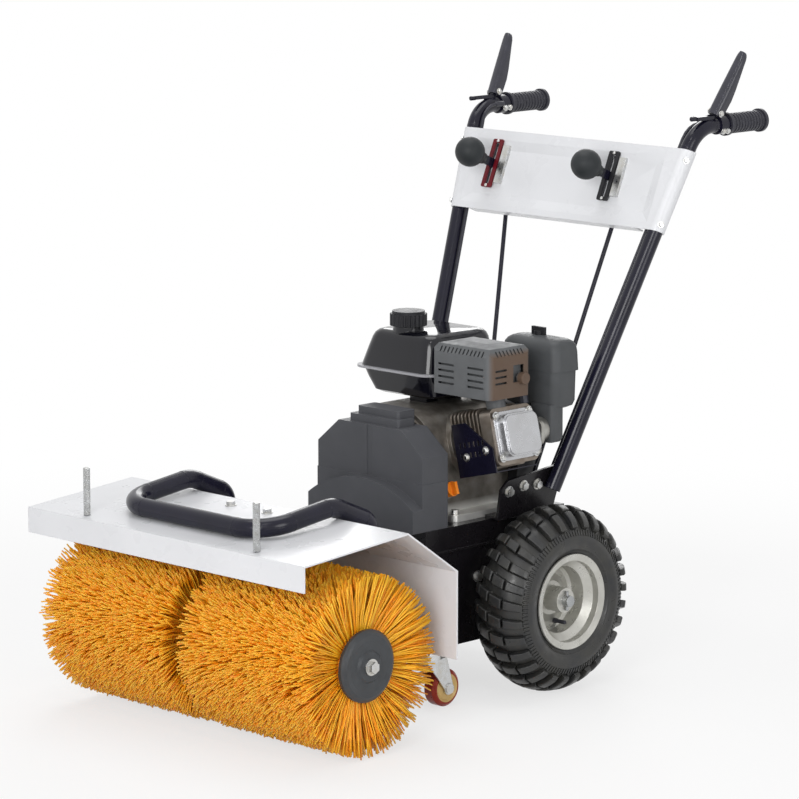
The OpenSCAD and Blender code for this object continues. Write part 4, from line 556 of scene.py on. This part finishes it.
def add_mesh(name, points, faces, material, smooth=True):
    mesh = bpy.data.meshes.new(name)
    mesh.from_pydata(points, [], faces)
    mesh.polygons.foreach_set("use_smooth", [smooth] * len(mesh.polygons))
    mesh.materials.append(material)
    mesh.update()
    obj = bpy.data.objects.new(name, mesh)
    bpy.context.scene.collection.objects.link(obj)
    return obj


def strand_lines(rng, low, high, axis, reach):
    """Centre lines of all strands of one section, strands by points by coordinates, and their turns."""
    count = SECTION_RINGS * RING_STRANDS
    pitch = (high - low) / SECTION_RINGS
    ring = np.repeat(np.arange(SECTION_RINGS), RING_STRANDS)
    fan = rng.uniform(-1, 1, count)
    root_x = low + (ring + 0.5) * pitch + fan * ROOT_SPREAD * pitch
    along = 2 * (root_x - low) / (high - low) - 1
    tip_x = low + (ring + 0.5) * pitch + fan * TIP_FAN * pitch + TIP_SPLAY * along ** 3
    turn = rng.uniform(0, 2 * np.pi, count)
    tip_turn = turn + np.radians(rng.normal(0, TIP_TURN, count))
    tip_r = reach - rng.uniform(0, 1, count) ** 2 * TIP_SHORT
    share = np.linspace(0, 1, STRAND_RINGS)[None, :]
    r = CORE_R + (tip_r[:, None] - CORE_R) * share
    a = turn[:, None] + (tip_turn - turn)[:, None] * share ** 2
    x = root_x[:, None] + (tip_x - root_x)[:, None] * share ** TIP_BEND
    bend = rng.normal(0, CRIMP, (count, STRAND_RINGS, 3))
    bend[:, 0] = 0
    line = np.stack([x, axis[0] + r * np.cos(a), axis[1] + r * np.sin(a)], -1) + bend
    return line, turn


def strand_faces(count):
    """Faces of all strands: sides from ring to ring and a closed tip."""
    faces = []
    for strand in range(count):
        base = strand * STRAND_RINGS * STRAND_SIDES
        for ring in range(STRAND_RINGS - 1):
            for i in range(STRAND_SIDES):
                a = base + ring * STRAND_SIDES + i
                b = base + ring * STRAND_SIDES + (i + 1) % STRAND_SIDES
                faces.append((a, b, b + STRAND_SIDES, a + STRAND_SIDES))
        tip = base + (STRAND_RINGS - 1) * STRAND_SIDES
        faces.append(tuple(tip + i for i in range(STRAND_SIDES)))
    return faces


def add_bristles(side, material):
    node = "bristles_" + side
    low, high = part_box(node)
    middle = (low + high) / 2
    reach = (high.z - low.z) / 2
    rng = np.random.default_rng(BRUSH_SEED)
    sign = SIDES[side]
    start, end = sorted((abs(low.x), abs(high.x)))
    line, turn = strand_lines(rng, start, end, (middle.y, middle.z), reach)
    line[..., 0] *= sign
    count = len(line)
    radial = np.stack([np.zeros(count), np.cos(turn), np.sin(turn)], -1)
    sideways = np.stack([np.zeros(count), -np.sin(turn), np.cos(turn)], -1)
    axial = np.cross(radial, sideways)
    corners = [2 * np.pi * i / STRAND_SIDES for i in range(STRAND_SIDES)]
    offsets = np.stack([STRAND_R * (math.cos(c) * sideways + math.sin(c) * axial) for c in corners], 1)
    points = (line[:, :, None, :] + offsets[:, None, :, :]).reshape(-1, 3)
    faces = strand_faces(count)
    tone = np.repeat(rng.uniform(0, 1, count), STRAND_RINGS * STRAND_SIDES)
    drum = []
    for x in (start, end):
        for i in range(CORE_SIDES):
            a = 2 * math.pi * i / CORE_SIDES
            drum.append((sign * x, middle.y + CORE_R * math.cos(a), middle.z + CORE_R * math.sin(a)))
    base = len(points)
    for i in range(CORE_SIDES):
        j = (i + 1) % CORE_SIDES
        faces.append((base + i, base + j, base + CORE_SIDES + j, base + CORE_SIDES + i))
    points = np.concatenate([points, np.array(drum)])
    tone = np.concatenate([tone, np.zeros(len(drum))])
    obj = add_mesh("brush_" + side, points.tolist(), faces, material)
    shade = obj.data.attributes.new("tone", "FLOAT", "POINT")
    shade.data.foreach_set("value", tone.astype(np.float32))
    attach(obj, "brush")
    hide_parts(node)


# Tyres: a smooth carcass with rows of tread blocks that wrap over the shoulder

TYRE_PITCHES = 29
TYRE_LUG = 0.011
TYRE_BEAD_R = 0.0754
TYRE_PROUD = 0.0012
TYRE_TURNS = 132
CARCASS_STEPS = 6
SLOPE_SHARE = 0.01
# Shares of the carcass's height over the bead and of its half width, from the tread's middle to the bead
CARCASS_SHARES = (
    (1.0, 0.0), (0.986, 0.20), (0.95, 0.38), (0.89, 0.55), (0.81, 0.70),
    (0.70, 0.86), (0.58, 0.955), (0.45, 1.0), (0.36, 0.99), (0.30, 0.965),
    (0.25, 0.935), (0.225, 0.93), (0.2, 0.885), (0.153, 0.84), (0.0, 0.778),
)
# Corner shares of one block: along a pitch, and along the carcass from the middle to the bead
BLOCK_SHARES = {
    "centre": ((0.04, 0.012), (0.56, 0.012), (0.74, 0.195), (0.24, 0.195)),
    "shoulder": ((0.30, 0.22), (0.76, 0.22), (0.88, 0.49), (0.46, 0.49)),
}
RIB_SHARES = ((0.0, 0.51), (0.1, 0.51), (0.1, 0.60), (0.0, 0.60))
RIBS_PER_PITCH = 4
RIB_HEIGHT = 0.0012
# Levels of a block: shares of its height and of its outline
BLOCK_LEVEL_SHARES = ((-0.2, 1.06), (0.84, 1.0), (1.0, 0.88))
# Height of the blocks by the place along the carcass, both as shares
BLOCK_PLACE_SHARES = (0.0, 0.2, 0.42, 0.5)
BLOCK_FADE_SHARES = (1.0, 0.95, 0.9, 0.7)
BLOCK_ACROSS = 3
BLOCK_OUT = 5


def smooth_line(points, steps):
    """A Catmull-Rom curve through the points, with that many steps between two of them."""
    line = []
    ends = [points[0]] + list(points) + [points[-1]]
    for i in range(len(points) - 1):
        a, b, c, d = (np.array(p) for p in ends[i:i + 4])
        for step in range(steps):
            t = step / steps
            line.append(0.5 * (2 * b + (c - a) * t + (2 * a - 5 * b + 4 * c - d) * t ** 2
                               + (3 * b - a - 3 * c + d) * t ** 3))
    line.append(np.array(points[-1]))
    return np.array(line)


class Carcass:
    """The side of a tyre as a curve in radius and distance from the middle plane."""

    def __init__(self, crown_r, half_w):
        shares = np.array(CARCASS_SHARES)
        radii = TYRE_BEAD_R + shares[:, 0] * (crown_r - TYRE_BEAD_R)
        self.line = smooth_line(np.stack([radii, shares[:, 1] * half_w], -1), CARCASS_STEPS)
        steps = np.linalg.norm(np.diff(self.line, axis=0), axis=1)
        self.shares = np.concatenate([[0], np.cumsum(steps)]) / steps.sum()

    def at(self, share):
        return np.array([np.interp(share, self.shares, self.line[:, k]) for k in (0, 1)])

    def point(self, share, height):
        """Radius and distance from the middle plane at a share of the curve, raised square to it."""
        way = self.at(min(share + SLOPE_SHARE, 1)) - self.at(max(share - SLOPE_SHARE, 0))
        out = np.array([way[1], -way[0]]) / np.linalg.norm(way)
        return self.at(share) + out * height

    def block(self, corners, turn, pitch, height, edge):
        """Points and faces of one tread block, on the side of the tyre that edge names."""
        quad = np.array(corners)
        middle = quad.mean(0)
        points = []
        for rise, scale in BLOCK_LEVEL_SHARES:
            around = middle + (quad - middle) * scale
            for i in range(BLOCK_OUT + 1):
                for j in range(BLOCK_ACROSS + 1):
                    u, v = j / BLOCK_ACROSS, i / BLOCK_OUT
                    inner = around[0] * (1 - u) + around[1] * u
                    outer = around[3] * (1 - u) + around[2] * u
                    along, share = inner * (1 - v) + outer * v
                    fade = np.interp(share, BLOCK_PLACE_SHARES, BLOCK_FADE_SHARES)
                    r, x = self.point(max(share, 0), rise * height * fade)
                    a = turn + edge * along * pitch
                    points.append((edge * x, r * math.cos(a), r * math.sin(a)))
        row = BLOCK_ACROSS + 1
        level = row * (BLOCK_OUT + 1)
        rim = list(range(row)) + [i * row + row - 1 for i in range(1, BLOCK_OUT + 1)]
        rim += [BLOCK_OUT * row + j for j in range(BLOCK_ACROSS - 1, -1, -1)]
        rim += [i * row for i in range(BLOCK_OUT - 1, 0, -1)]
        top = (len(BLOCK_LEVEL_SHARES) - 1) * level
        faces = []
        for low in range(0, top, level):
            high = low + level
            for here, after in zip(rim, rim[1:] + rim[:1]):
                faces.append((low + here, low + after, high + after, high + here))
        for i in range(BLOCK_OUT):
            for j in range(BLOCK_ACROSS):
                a = top + i * row + j
                faces.append((a, a + 1, a + row + 1, a + row))
        return points, faces


def add_tyre(side, material):
    node = "tyre_" + side
    low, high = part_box(node)
    middle = (low + high) / 2
    carcass = Carcass((high.z - low.z) / 2 - TYRE_LUG, (high.x - low.x) / 2 - TYRE_PROUD)
    outline = [(x, r) for r, x in carcass.line]
    section = [(-x, r) for x, r in reversed(outline[1:])] + outline
    size = len(section)
    points = []
    faces = []
    for turn in range(TYRE_TURNS):
        a = 2 * math.pi * turn / TYRE_TURNS
        points += [(x, r * math.cos(a), r * math.sin(a)) for x, r in section]
        here, after = turn * size, (turn + 1) % TYRE_TURNS * size
        for i in range(size - 1):
            faces.append((here + i, here + i + 1, after + i + 1, after + i))
        faces.append((here + size - 1, here, after, after + size - 1))
    smooth = len(faces)
    pitch = 2 * math.pi / TYRE_PITCHES
    for edge in (-1, 1):
        for i in range(TYRE_PITCHES):
            turn = (i + (0.5 if edge > 0 else 0.0)) * pitch
            blocks = [(corners, TYRE_LUG) for corners in BLOCK_SHARES.values()]
            for rib in range(RIBS_PER_PITCH):
                shift = rib / RIBS_PER_PITCH
                corners = [(along + shift, share) for along, share in RIB_SHARES]
                blocks.append((corners, RIB_HEIGHT / BLOCK_FADE_SHARES[-1]))
            for corners, height in blocks:
                more, more_faces = carcass.block(corners, turn, pitch, height, edge)
                base = len(points)
                points += more
                for face in more_faces:
                    faces.append(tuple(base + k for k in (face if edge > 0 else reversed(face))))
    points = [Vector(p) + middle for p in points]
    obj = add_mesh(node + "_tread", points, faces, material)
    obj.data.polygons.foreach_set("use_smooth", [i < smooth for i in range(len(faces))])
    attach(obj, "wheels")
    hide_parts(node)


# Frames of the left handle tube, its clutch lever, the control panel and the slanted cylinder

HANDLE_FOOT = (0.171, 0.0, 0.345)
HANDLE_SPLAY = math.radians(8.6)
LEVER_PIVOT = (0.0, 0.478, 0.656119)
LEVER_LEAN = math.radians(60.0)
PANEL_PLACE = (0.0, 0.353374, 0.789)
PANEL_LEAN = math.radians(-23.0991)
CYLINDER_PLACE = (0.0, 0.055, 0.414)
CYLINDER_SLANT = math.radians(-14.0)


def placed(place, turn, axis):
    """A frame at a place, turned about one axis."""
    return Matrix.Translation(place) @ Matrix.Rotation(turn, 4, axis)


HANDLE = placed(HANDLE_FOOT, HANDLE_SPLAY, "Y")
LEVER = HANDLE @ placed(LEVER_PIVOT, LEVER_LEAN, "X")
PANEL = placed(PANEL_PLACE, PANEL_LEAN, "X")
CYLINDER = placed(CYLINDER_PLACE, CYLINDER_SLANT, "Y")

# New pieces from simple solids

CORNER_STEPS = 6
CREASE = math.radians(32.0)
WASHER_SHARE = 0.28
WASHER_R_SHARE = 1.35
TIP_CUT = 0.001


class Form:
    """Points and faces of a new piece, gathered from simple solids in one frame."""

    def __init__(self, frame_matrix=None):
        self.frame = frame_matrix or Matrix.Identity(4)
        self.points = []
        self.faces = []

    def skin(self, rings):
        """A closed skin over rings with equal numbers of points."""
        base = len(self.points)
        size = len(rings[0])
        last = base + (len(rings) - 1) * size
        for ring in rings:
            self.points += [self.frame @ Vector(p) for p in ring]
        for start in range(base, last, size):
            for i in range(size):
                a, b = start + i, start + (i + 1) % size
                self.faces.append((a, b, b + size, a + size))
        self.faces.append(tuple(reversed(range(base, base + size))))
        self.faces.append(tuple(range(last, last + size)))

    def rod(self, start, end, radius, sides=24, tip=0.0):
        """A round or many-sided rod, drawn in by tip at its end."""
        way = Vector(end) - Vector(start)
        if tip:
            profile = ((0.0, radius), (way.length - tip, radius), (way.length, radius - tip))
        else:
            profile = ((0.0, radius), (way.length, radius))
        self.lathe(start, way, profile, sides)

    def lathe(self, centre, way, profile, sides=48):
        """A turned solid: pairs of place along the axis and radius, from one end to the other."""
        way = Vector(way).normalized()
        across = way.orthogonal().normalized()
        up = way.cross(across)
        turns = [2 * math.pi * i / sides for i in range(sides)]
        rim = [math.cos(a) * across + math.sin(a) * up for a in turns]
        self.skin([[Vector(centre) + way * place + r * spoke for spoke in rim] for place, r in profile])

    def loft(self, sections):
        """A skin over level rounded rectangles: height, low and high X, low and high Y, corner radius."""
        rings = []
        for z, x0, x1, y0, y1, r in sections:
            centres = ((x1 - r, y1 - r), (x0 + r, y1 - r), (x0 + r, y0 + r), (x1 - r, y0 + r))
            ring = []
            for corner, (x, y) in enumerate(centres):
                for step in range(CORNER_STEPS + 1):
                    a = math.pi / 2 * (corner + step / CORNER_STEPS)
                    ring.append((x + r * math.cos(a), y + r * math.sin(a), z))
            rings.append(ring)
        self.skin(rings)

    def box(self, low, high):
        (x0, y0, z0), (x1, y1, z1) = low, high
        self.skin([[(x0, y0, z), (x1, y0, z), (x1, y1, z), (x0, y1, z)] for z in (z0, z1)])

    def bolt(self, place, way, radius, height):
        """A hexagon head on a washer."""
        place, way = Vector(place), Vector(way).normalized()
        washer = height * WASHER_SHARE
        self.rod(place, place + way * washer, radius * WASHER_R_SHARE)
        self.rod(place + way * washer, place + way * height, radius, sides=6, tip=washer)

    def join(self, other):
        base = len(self.points)
        self.points += other.points
        self.faces += [tuple(base + i for i in face) for face in other.faces]

    def mirrored(self):
        """The same form on the other side of the machine."""
        other = Form()
        other.points = [Vector((-p.x, p.y, p.z)) for p in self.points]
        other.faces = [tuple(reversed(face)) for face in self.faces]
        return other


def add_piece(name, form, material, body, slot, *nodes, smooth=False):
    obj = add_mesh(name, form.points, form.faces, material, smooth)
    if smooth:
        obj.data.set_sharp_from_angle(angle=CREASE)
    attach(obj, body)
    if nodes:
        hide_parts(*nodes)


# Clutch levers: folded channels, wide at the pivot and round at the tip, with their clamps

LEVER_TOP = 0.011
LEVER_SHEET = 0.0022
LEVER_FOLD_SHARE = 0.8
LEVER_FOLD_STEPS = 8
LEVER_PIN_R = 0.003
# Place along the lever, half width and depth of the channel
LEVER_SIZES = (
    (-0.006, 0.0122, 0.0190), (0.010, 0.0124, 0.0205), (0.030, 0.0124, 0.0215), (0.050, 0.0120, 0.0195),
    (0.075, 0.0112, 0.0155), (0.095, 0.0106, 0.0120), (0.106, 0.0102, 0.0105), (0.112, 0.0090, 0.0095),
    (0.116, 0.0072, 0.0088), (0.118, 0.0056, 0.0082),
)
LEVER_HALF = LEVER_SIZES[0][1]
LEVER_RISE = 0.023
CLAMP_R = 0.0172
CLAMP_SPAN = (0.4815, 0.5045)
STOP_LOW = (-0.0055, 0.424, 0.645)
STOP_HIGH = (0.0055, 0.470, 0.652)
STOP_FOOT_LOW = (-0.004, 0.452, 0.628)
ADJUSTER_R = 0.0042
ADJUSTER_OUT = 0.012


def channel(half, depth):
    """Outline of the lever's channel, across the lever: outside first, then back along the inside."""
    fold = LEVER_FOLD_SHARE * half

    def side(r, reach):
        turns = [math.pi / 2 * i / LEVER_FOLD_STEPS for i in range(LEVER_FOLD_STEPS + 1)]
        corner = [(reach - r + r * math.cos(a), LEVER_TOP - fold + r * math.sin(a)) for a in turns]
        return [(reach, LEVER_TOP - depth)] + corner

    outer = side(fold, half)
    inner = side(fold - LEVER_SHEET, half - LEVER_SHEET)
    outside = outer + [(-x, z) for x, z in reversed(outer)]
    inside = inner + [(-x, z) for x, z in reversed(inner)]
    return outside + inside[::-1]


def add_levers(finishes):
    lever = Form(LEVER)
    lever.skin([[(x, y, z) for x, z in reversed(channel(half, depth))] for y, half, depth in LEVER_SIZES])
    lever.rod((-LEVER_HALF, 0, 0), (LEVER_HALF, 0, 0), LEVER_PIN_R)
    clamp = Form(HANDLE)
    axis_up = LEVER_PIVOT[2] - LEVER_RISE
    clamp.rod((0, CLAMP_SPAN[0], axis_up), (0, CLAMP_SPAN[1], axis_up), CLAMP_R, sides=40, tip=TIP_CUT)
    clamp.box(STOP_LOW, STOP_HIGH)
    clamp.box(STOP_FOOT_LOW, (-STOP_FOOT_LOW[0], STOP_HIGH[1], STOP_HIGH[2]))
    stop = Vector((0.0, STOP_LOW[1], (STOP_LOW[2] + STOP_HIGH[2]) / 2))
    clamp.rod(stop, stop - Vector((0.0, ADJUSTER_OUT, 0.0)), ADJUSTER_R, sides=16, tip=TIP_CUT)
    for side, sign in SIDES.items():
        body = "clutch_" + side
        here = lever if sign > 0 else lever.mirrored()
        # The lever's paint is lighter than the black paint, a painted sheen
        add_piece("channel_" + side, here, finishes["lever_sheen_paint"], body, "black_paint",
                  "clutch_lever_" + side, smooth=True)
        here = clamp if sign > 0 else clamp.mirrored()
        add_piece("clamp_" + side, here, finishes["black_paint"], "frame", "black_paint")


# Control panel: the sheet of the CAD node, pressed in by a shallow pan with folded corners

PAN_DEPTH = 0.0045
# Half length, low edge and high edge of the pan, at the sheet and on its floor
PAN_OUTER = (0.228, 0.012, 0.134)
PAN_INNER = (0.209, 0.030, 0.116)
SHEET_BACK = -0.0138
CUT_NEAR = 1e-6


def pan_share(x, z):
    """How far a point of the sheet is pressed in, from 0 at the pan's edge to 1 on its floor."""
    ends = (PAN_OUTER[0] - abs(x)) / (PAN_OUTER[0] - PAN_INNER[0])
    low = (z - PAN_OUTER[1]) / (PAN_INNER[1] - PAN_OUTER[1])
    high = (PAN_OUTER[2] - z) / (PAN_OUTER[2] - PAN_INNER[2])
    return max(0.0, min(1.0, ends, low, high))


def pan_cuts():
    """Planes along the pan's folds, as a place and a direction across the fold."""
    cuts = []
    for sign in (-1, 1):
        for x in (PAN_OUTER[0], PAN_INNER[0]):
            cuts.append(((sign * x, 0, 0), (1, 0, 0)))
        for outer, inner in zip(PAN_OUTER[1:], PAN_INNER[1:]):
            fold = Vector((sign * (PAN_OUTER[0] - PAN_INNER[0]), 0, outer - inner))
            cuts.append(((sign * PAN_OUTER[0], 0, outer), fold.cross(Vector((0, 1, 0)))))
    return cuts + [((0, 0, z), (0, 0, 1)) for z in PAN_OUTER[1:] + PAN_INNER[1:]]


def add_panel(finishes):
    sheet = bmesh.new()
    sheet.from_mesh(NODES["control_panel"].data)
    sheet.transform(PANEL.inverted())
    for place, across in pan_cuts():
        everything = sheet.verts[:] + sheet.edges[:] + sheet.faces[:]
        bmesh.ops.bisect_plane(sheet, geom=everything, dist=CUT_NEAR, plane_co=place, plane_no=across)
    for point in sheet.verts:
        if point.co.y < SHEET_BACK:
            point.co.y += PAN_DEPTH * pan_share(point.co.x, point.co.z)
    sheet.transform(PANEL)
    mesh = bpy.data.meshes.new("panel_pressed")
    sheet.to_mesh(mesh)
    sheet.free()
    mesh.materials.clear()
    mesh.materials.append(finishes["white_paint"])
    obj = bpy.data.objects.new("panel_pressed", mesh)
    bpy.context.scene.collection.objects.link(obj)
    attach(obj, "frame")
    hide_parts("control_panel")


# Knobs: a ball that runs into a tapered neck

KNOB_R = 0.0275
KNOB_BALL_STEPS = 14
KNOB_BALL_END = math.radians(132.0)
KNOB_START_SHARE = 0.2
# Place along the neck and its radius, as shares of the ball's radius
KNOB_NECK_SHARES = ((0.82, 0.60), (0.95, 0.49), (1.1, 0.43), (1.36, 0.38))


def add_knobs(material):
    back = (PANEL.to_3x3() @ Vector((0, 1, 0))).normalized()
    turns = [KNOB_BALL_END * (i + KNOB_START_SHARE) / KNOB_BALL_STEPS for i in range(KNOB_BALL_STEPS + 1)]
    shares = [(-math.cos(a), math.sin(a)) for a in turns] + list(KNOB_NECK_SHARES)
    for side in SIDES:
        low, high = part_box("knob_" + side)
        centre = ((low.x + high.x) / 2, low.y + KNOB_R, high.z - KNOB_R)
        knob = Form()
        knob.lathe(centre, back, [(KNOB_R * place, KNOB_R * r) for place, r in shares])
        add_piece("ball_" + side, knob, material, "gate_" + side, "grey_plastic", "knob_" + side, smooth=True)


# Fuel tank and air cleaner: moulded shells, as level sections from the bottom to the top

TANK_SECTIONS = (
    (0.506, -0.112, 0.026, 0.012, 0.150, 0.020), (0.5105, -0.122, 0.033, 0.003, 0.160, 0.024),
    (0.533, -0.136, 0.036, -0.002, 0.168, 0.026), (0.5475, -0.142, 0.036, -0.005, 0.172, 0.026),
    (0.5475, -0.157, 0.041, -0.011, 0.179, 0.030), (0.5515, -0.157, 0.041, -0.011, 0.179, 0.030),
    (0.5515, -0.149, 0.035, -0.005, 0.172, 0.026), (0.588, -0.136, 0.033, 0.001, 0.166, 0.026),
    (0.604, -0.130, 0.031, 0.004, 0.163, 0.026), (0.611, -0.126, 0.028, 0.007, 0.160, 0.025),
    (0.6155, -0.120, 0.023, 0.012, 0.155, 0.022), (0.618, -0.111, 0.015, 0.020, 0.147, 0.016),
)
TANK_FOOT_X = (-0.0575, -0.0175)
TANK_FOOT_Y = ((0.039, 0.069), (0.099, 0.129))
TANK_FOOT_Z = (0.492, 0.510)
NECK_Z = (0.612, 0.626)
NECK_R = 0.027
LID_SECTIONS = (
    (0.558, 0.066, 0.203, 0.1365, 0.204, 0.016), (0.590, 0.067, 0.202, 0.1375, 0.203, 0.017),
    (0.602, 0.0685, 0.2005, 0.139, 0.2015, 0.0175), (0.608, 0.072, 0.197, 0.1425, 0.198, 0.018),
    (0.6118, 0.0775, 0.1915, 0.148, 0.1925, 0.017), (0.6138, 0.084, 0.185, 0.1545, 0.186, 0.014),
    (0.616, 0.105, 0.164, 0.163, 0.177, 0.006),
)
BOX_SECTIONS = (
    (0.492, 0.082, 0.188, 0.148, 0.188, 0.012), (0.496, 0.075, 0.196, 0.141, 0.196, 0.014),
    (0.504, 0.071, 0.1995, 0.138, 0.199, 0.016), (0.558, 0.069, 0.2005, 0.137, 0.200, 0.016),
)
ELBOW_SECTIONS = (
    (0.4336, 0.143, 0.190, 0.137, 0.166, 0.006), (0.440, 0.139, 0.194, 0.137, 0.170, 0.009),
    (0.500, 0.139, 0.194, 0.137, 0.170, 0.009),
)


def add_shells(finishes):
    tank = Form()
    tank.loft(TANK_SECTIONS)
    for low_y, high_y in TANK_FOOT_Y:
        tank.box((TANK_FOOT_X[0], low_y, TANK_FOOT_Z[0]), (TANK_FOOT_X[1], high_y, TANK_FOOT_Z[1]))
    low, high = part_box("fuel_cap")
    x, y = (low.x + high.x) / 2, (low.y + high.y) / 2
    tank.rod((x, y, NECK_Z[0]), (x, y, NECK_Z[1]), NECK_R, sides=48)
    add_piece("tank_shell", tank, finishes["tank_black"], "frame", "tank_black", "fuel_tank", smooth=True)
    grey = finishes["grey_plastic"]
    lid = Form()
    lid.loft(LID_SECTIONS)
    add_piece("cleaner_lid", lid, grey, "frame", "grey_plastic", "air_cleaner_cover", smooth=True)
    box = Form()
    box.loft(BOX_SECTIONS)
    box.loft(ELBOW_SECTIONS)
    add_piece("cleaner_box", box, grey, "frame", "grey_plastic", "air_cleaner_base", smooth=True)


# Small bolts and screws: radius and height of their heads, and their places

SMALL_BOLT = (0.0045, 0.0045)
ENGINE_BOLT = (0.0055, 0.005)
SCREW_R = 0.003
SCREW_H = 0.002
CLAMP_BOLTS = ((0.487, 0.625), (0.499, 0.625))
CLAMP_BOLT_SHARE = 0.9
WRAP_R = 0.0168
WRAP_BOLT_TURN = math.radians(-32.0)
WRAP_BOLT_PLACES = ((0.2399, 0.0129), (0.2566, 0.1326))
STRIP_X = (0.112, -0.172)
STRIP_Z = 0.088
STRIP_FACE = -0.0196
STRIP_SCREW_OUT = 0.0425
SHROUD_BOLTS = ((0.1196, 0.4172), (0.1649, 0.4356))
VALVE_FLANGE = 0.19
VALVE_BOLT_Y = 0.042
VALVE_BOLT_Z = 0.037


def handle_bolts():
    """Bolts of the left clamp, lever pivot and panel wrap."""
    handle = Form(HANDLE)
    for sign in (-1, 1):
        for y, up in CLAMP_BOLTS:
            handle.bolt((sign * CLAMP_R * CLAMP_BOLT_SHARE, y, up), (sign, 0, 0), *SMALL_BOLT)
        pivot = Vector(LEVER_PIVOT) + Vector((sign * LEVER_HALF, 0, 0))
        handle.bolt(pivot, (sign, 0, 0), *SMALL_BOLT)
    wraps = Form(PANEL)
    way = Vector((math.cos(WRAP_BOLT_TURN), math.sin(WRAP_BOLT_TURN), 0))
    for x, z in WRAP_BOLT_PLACES:
        wraps.bolt(Vector((x, 0, z)) + WRAP_R * way, way, *SMALL_BOLT)
    handle.join(wraps)
    return handle


def strip_screws():
    screws = Form(PANEL)
    for x in STRIP_X:
        for z in (STRIP_Z - STRIP_SCREW_OUT, STRIP_Z + STRIP_SCREW_OUT):
            screws.rod((x, STRIP_FACE, z), (x, STRIP_FACE - SCREW_H, z), SCREW_R, sides=16, tip=SCREW_H / 2)
    return screws


def engine_bolts():
    """Bolts of the cylinder shroud and of the valve cover."""
    engine = Form()
    shroud_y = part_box("cylinder_shroud")[0].y
    for x, z in SHROUD_BOLTS:
        engine.bolt((x, shroud_y, z), (0, -1, 0), *ENGINE_BOLT)
    cover = Form(CYLINDER)
    for y in (-VALVE_BOLT_Y, VALVE_BOLT_Y):
        for z in (-VALVE_BOLT_Z, VALVE_BOLT_Z):
            cover.bolt((VALVE_FLANGE, y, z), (1, 0, 0), *ENGINE_BOLT)
    engine.join(cover)
    return engine


def add_fasteners(finishes):
    handle = handle_bolts()
    bolts = Form()
    for form in (handle, handle.mirrored(), strip_screws(), engine_bolts()):
        bolts.join(form)
    add_piece("small_bolts", bolts, finishes["zinc"], "frame", "zinc")


# Brackets, guides and liners at the gate levers, in the panel's frame with X from each strip's middle; the
# black guides and liners are painted shade that darkens each strip's slot, and the guides also stand for the
# levers' guide plates

BRACKET_X = (0.0145, 0.030)
BRACKET_Y = (-0.0186, -0.0116)
BRACKET_Z = (0.052, 0.124)
GUIDE_X = (-0.0095, -0.0075)
GUIDE_Y = (-0.0116, 0.016)
GUIDE_Z = (0.046, 0.130)
# Liners: black plates in the slot beside each strip, painted shade
SLOT_SHADE_X = (-0.0065, -0.0045)
SLOT_SHADE_Y = (-0.0166, -0.0113)


def gate_boxes(*spans):
    """The same boxes at both gates, each given by its spans along X, Y and Z."""
    form = Form(PANEL)
    for x in STRIP_X:
        for (x0, x1), (y0, y1), (z0, z1) in spans:
            form.box((x + x0, y0, z0), (x + x1, y1, z1))
    return form


def add_gate_plates(finishes):
    brackets = gate_boxes((BRACKET_X, BRACKET_Y, BRACKET_Z))
    add_piece("gate_brackets", brackets, finishes["zinc"], "frame", "zinc")
    # Black guides and liners, painted shade in each strip's slot
    guides = gate_boxes((GUIDE_X, GUIDE_Y, GUIDE_Z), (SLOT_SHADE_X, SLOT_SHADE_Y, GUIDE_Z))
    add_piece("gate_guides_and_slot_shade", guides, finishes["black_paint"], "frame", "black_paint")


# Exhaust outlet on the muffler's side

OUTLET_START = (0.184, 0.0658, 0.5575)
OUTLET_L = 0.014
OUTLET_R = 0.0105


def add_outlet(finishes):
    start = Vector(OUTLET_START)
    outlet = Form()
    outlet.rod(start, start + Vector((OUTLET_L, 0, 0)), OUTLET_R, sides=32, tip=TIP_CUT)
    add_piece("exhaust_outlet", outlet, finishes["muffler_steel"], "frame", "muffler_steel")


bpy.context.scene.view_settings.view_transform = "Standard"
add_camera()
add_lamps()
add_world()
add_floor()
finishes = paint_nodes()
for side in SIDES:
    add_bristles(side, finishes["bristle"])
    add_tyre(side, finishes["tyre"])
add_levers(finishes)
add_panel(finishes)
add_knobs(finishes["knob_plastic"])
add_shells(finishes)
add_fasteners(finishes)
add_gate_plates(finishes)
add_outlet(finishes)
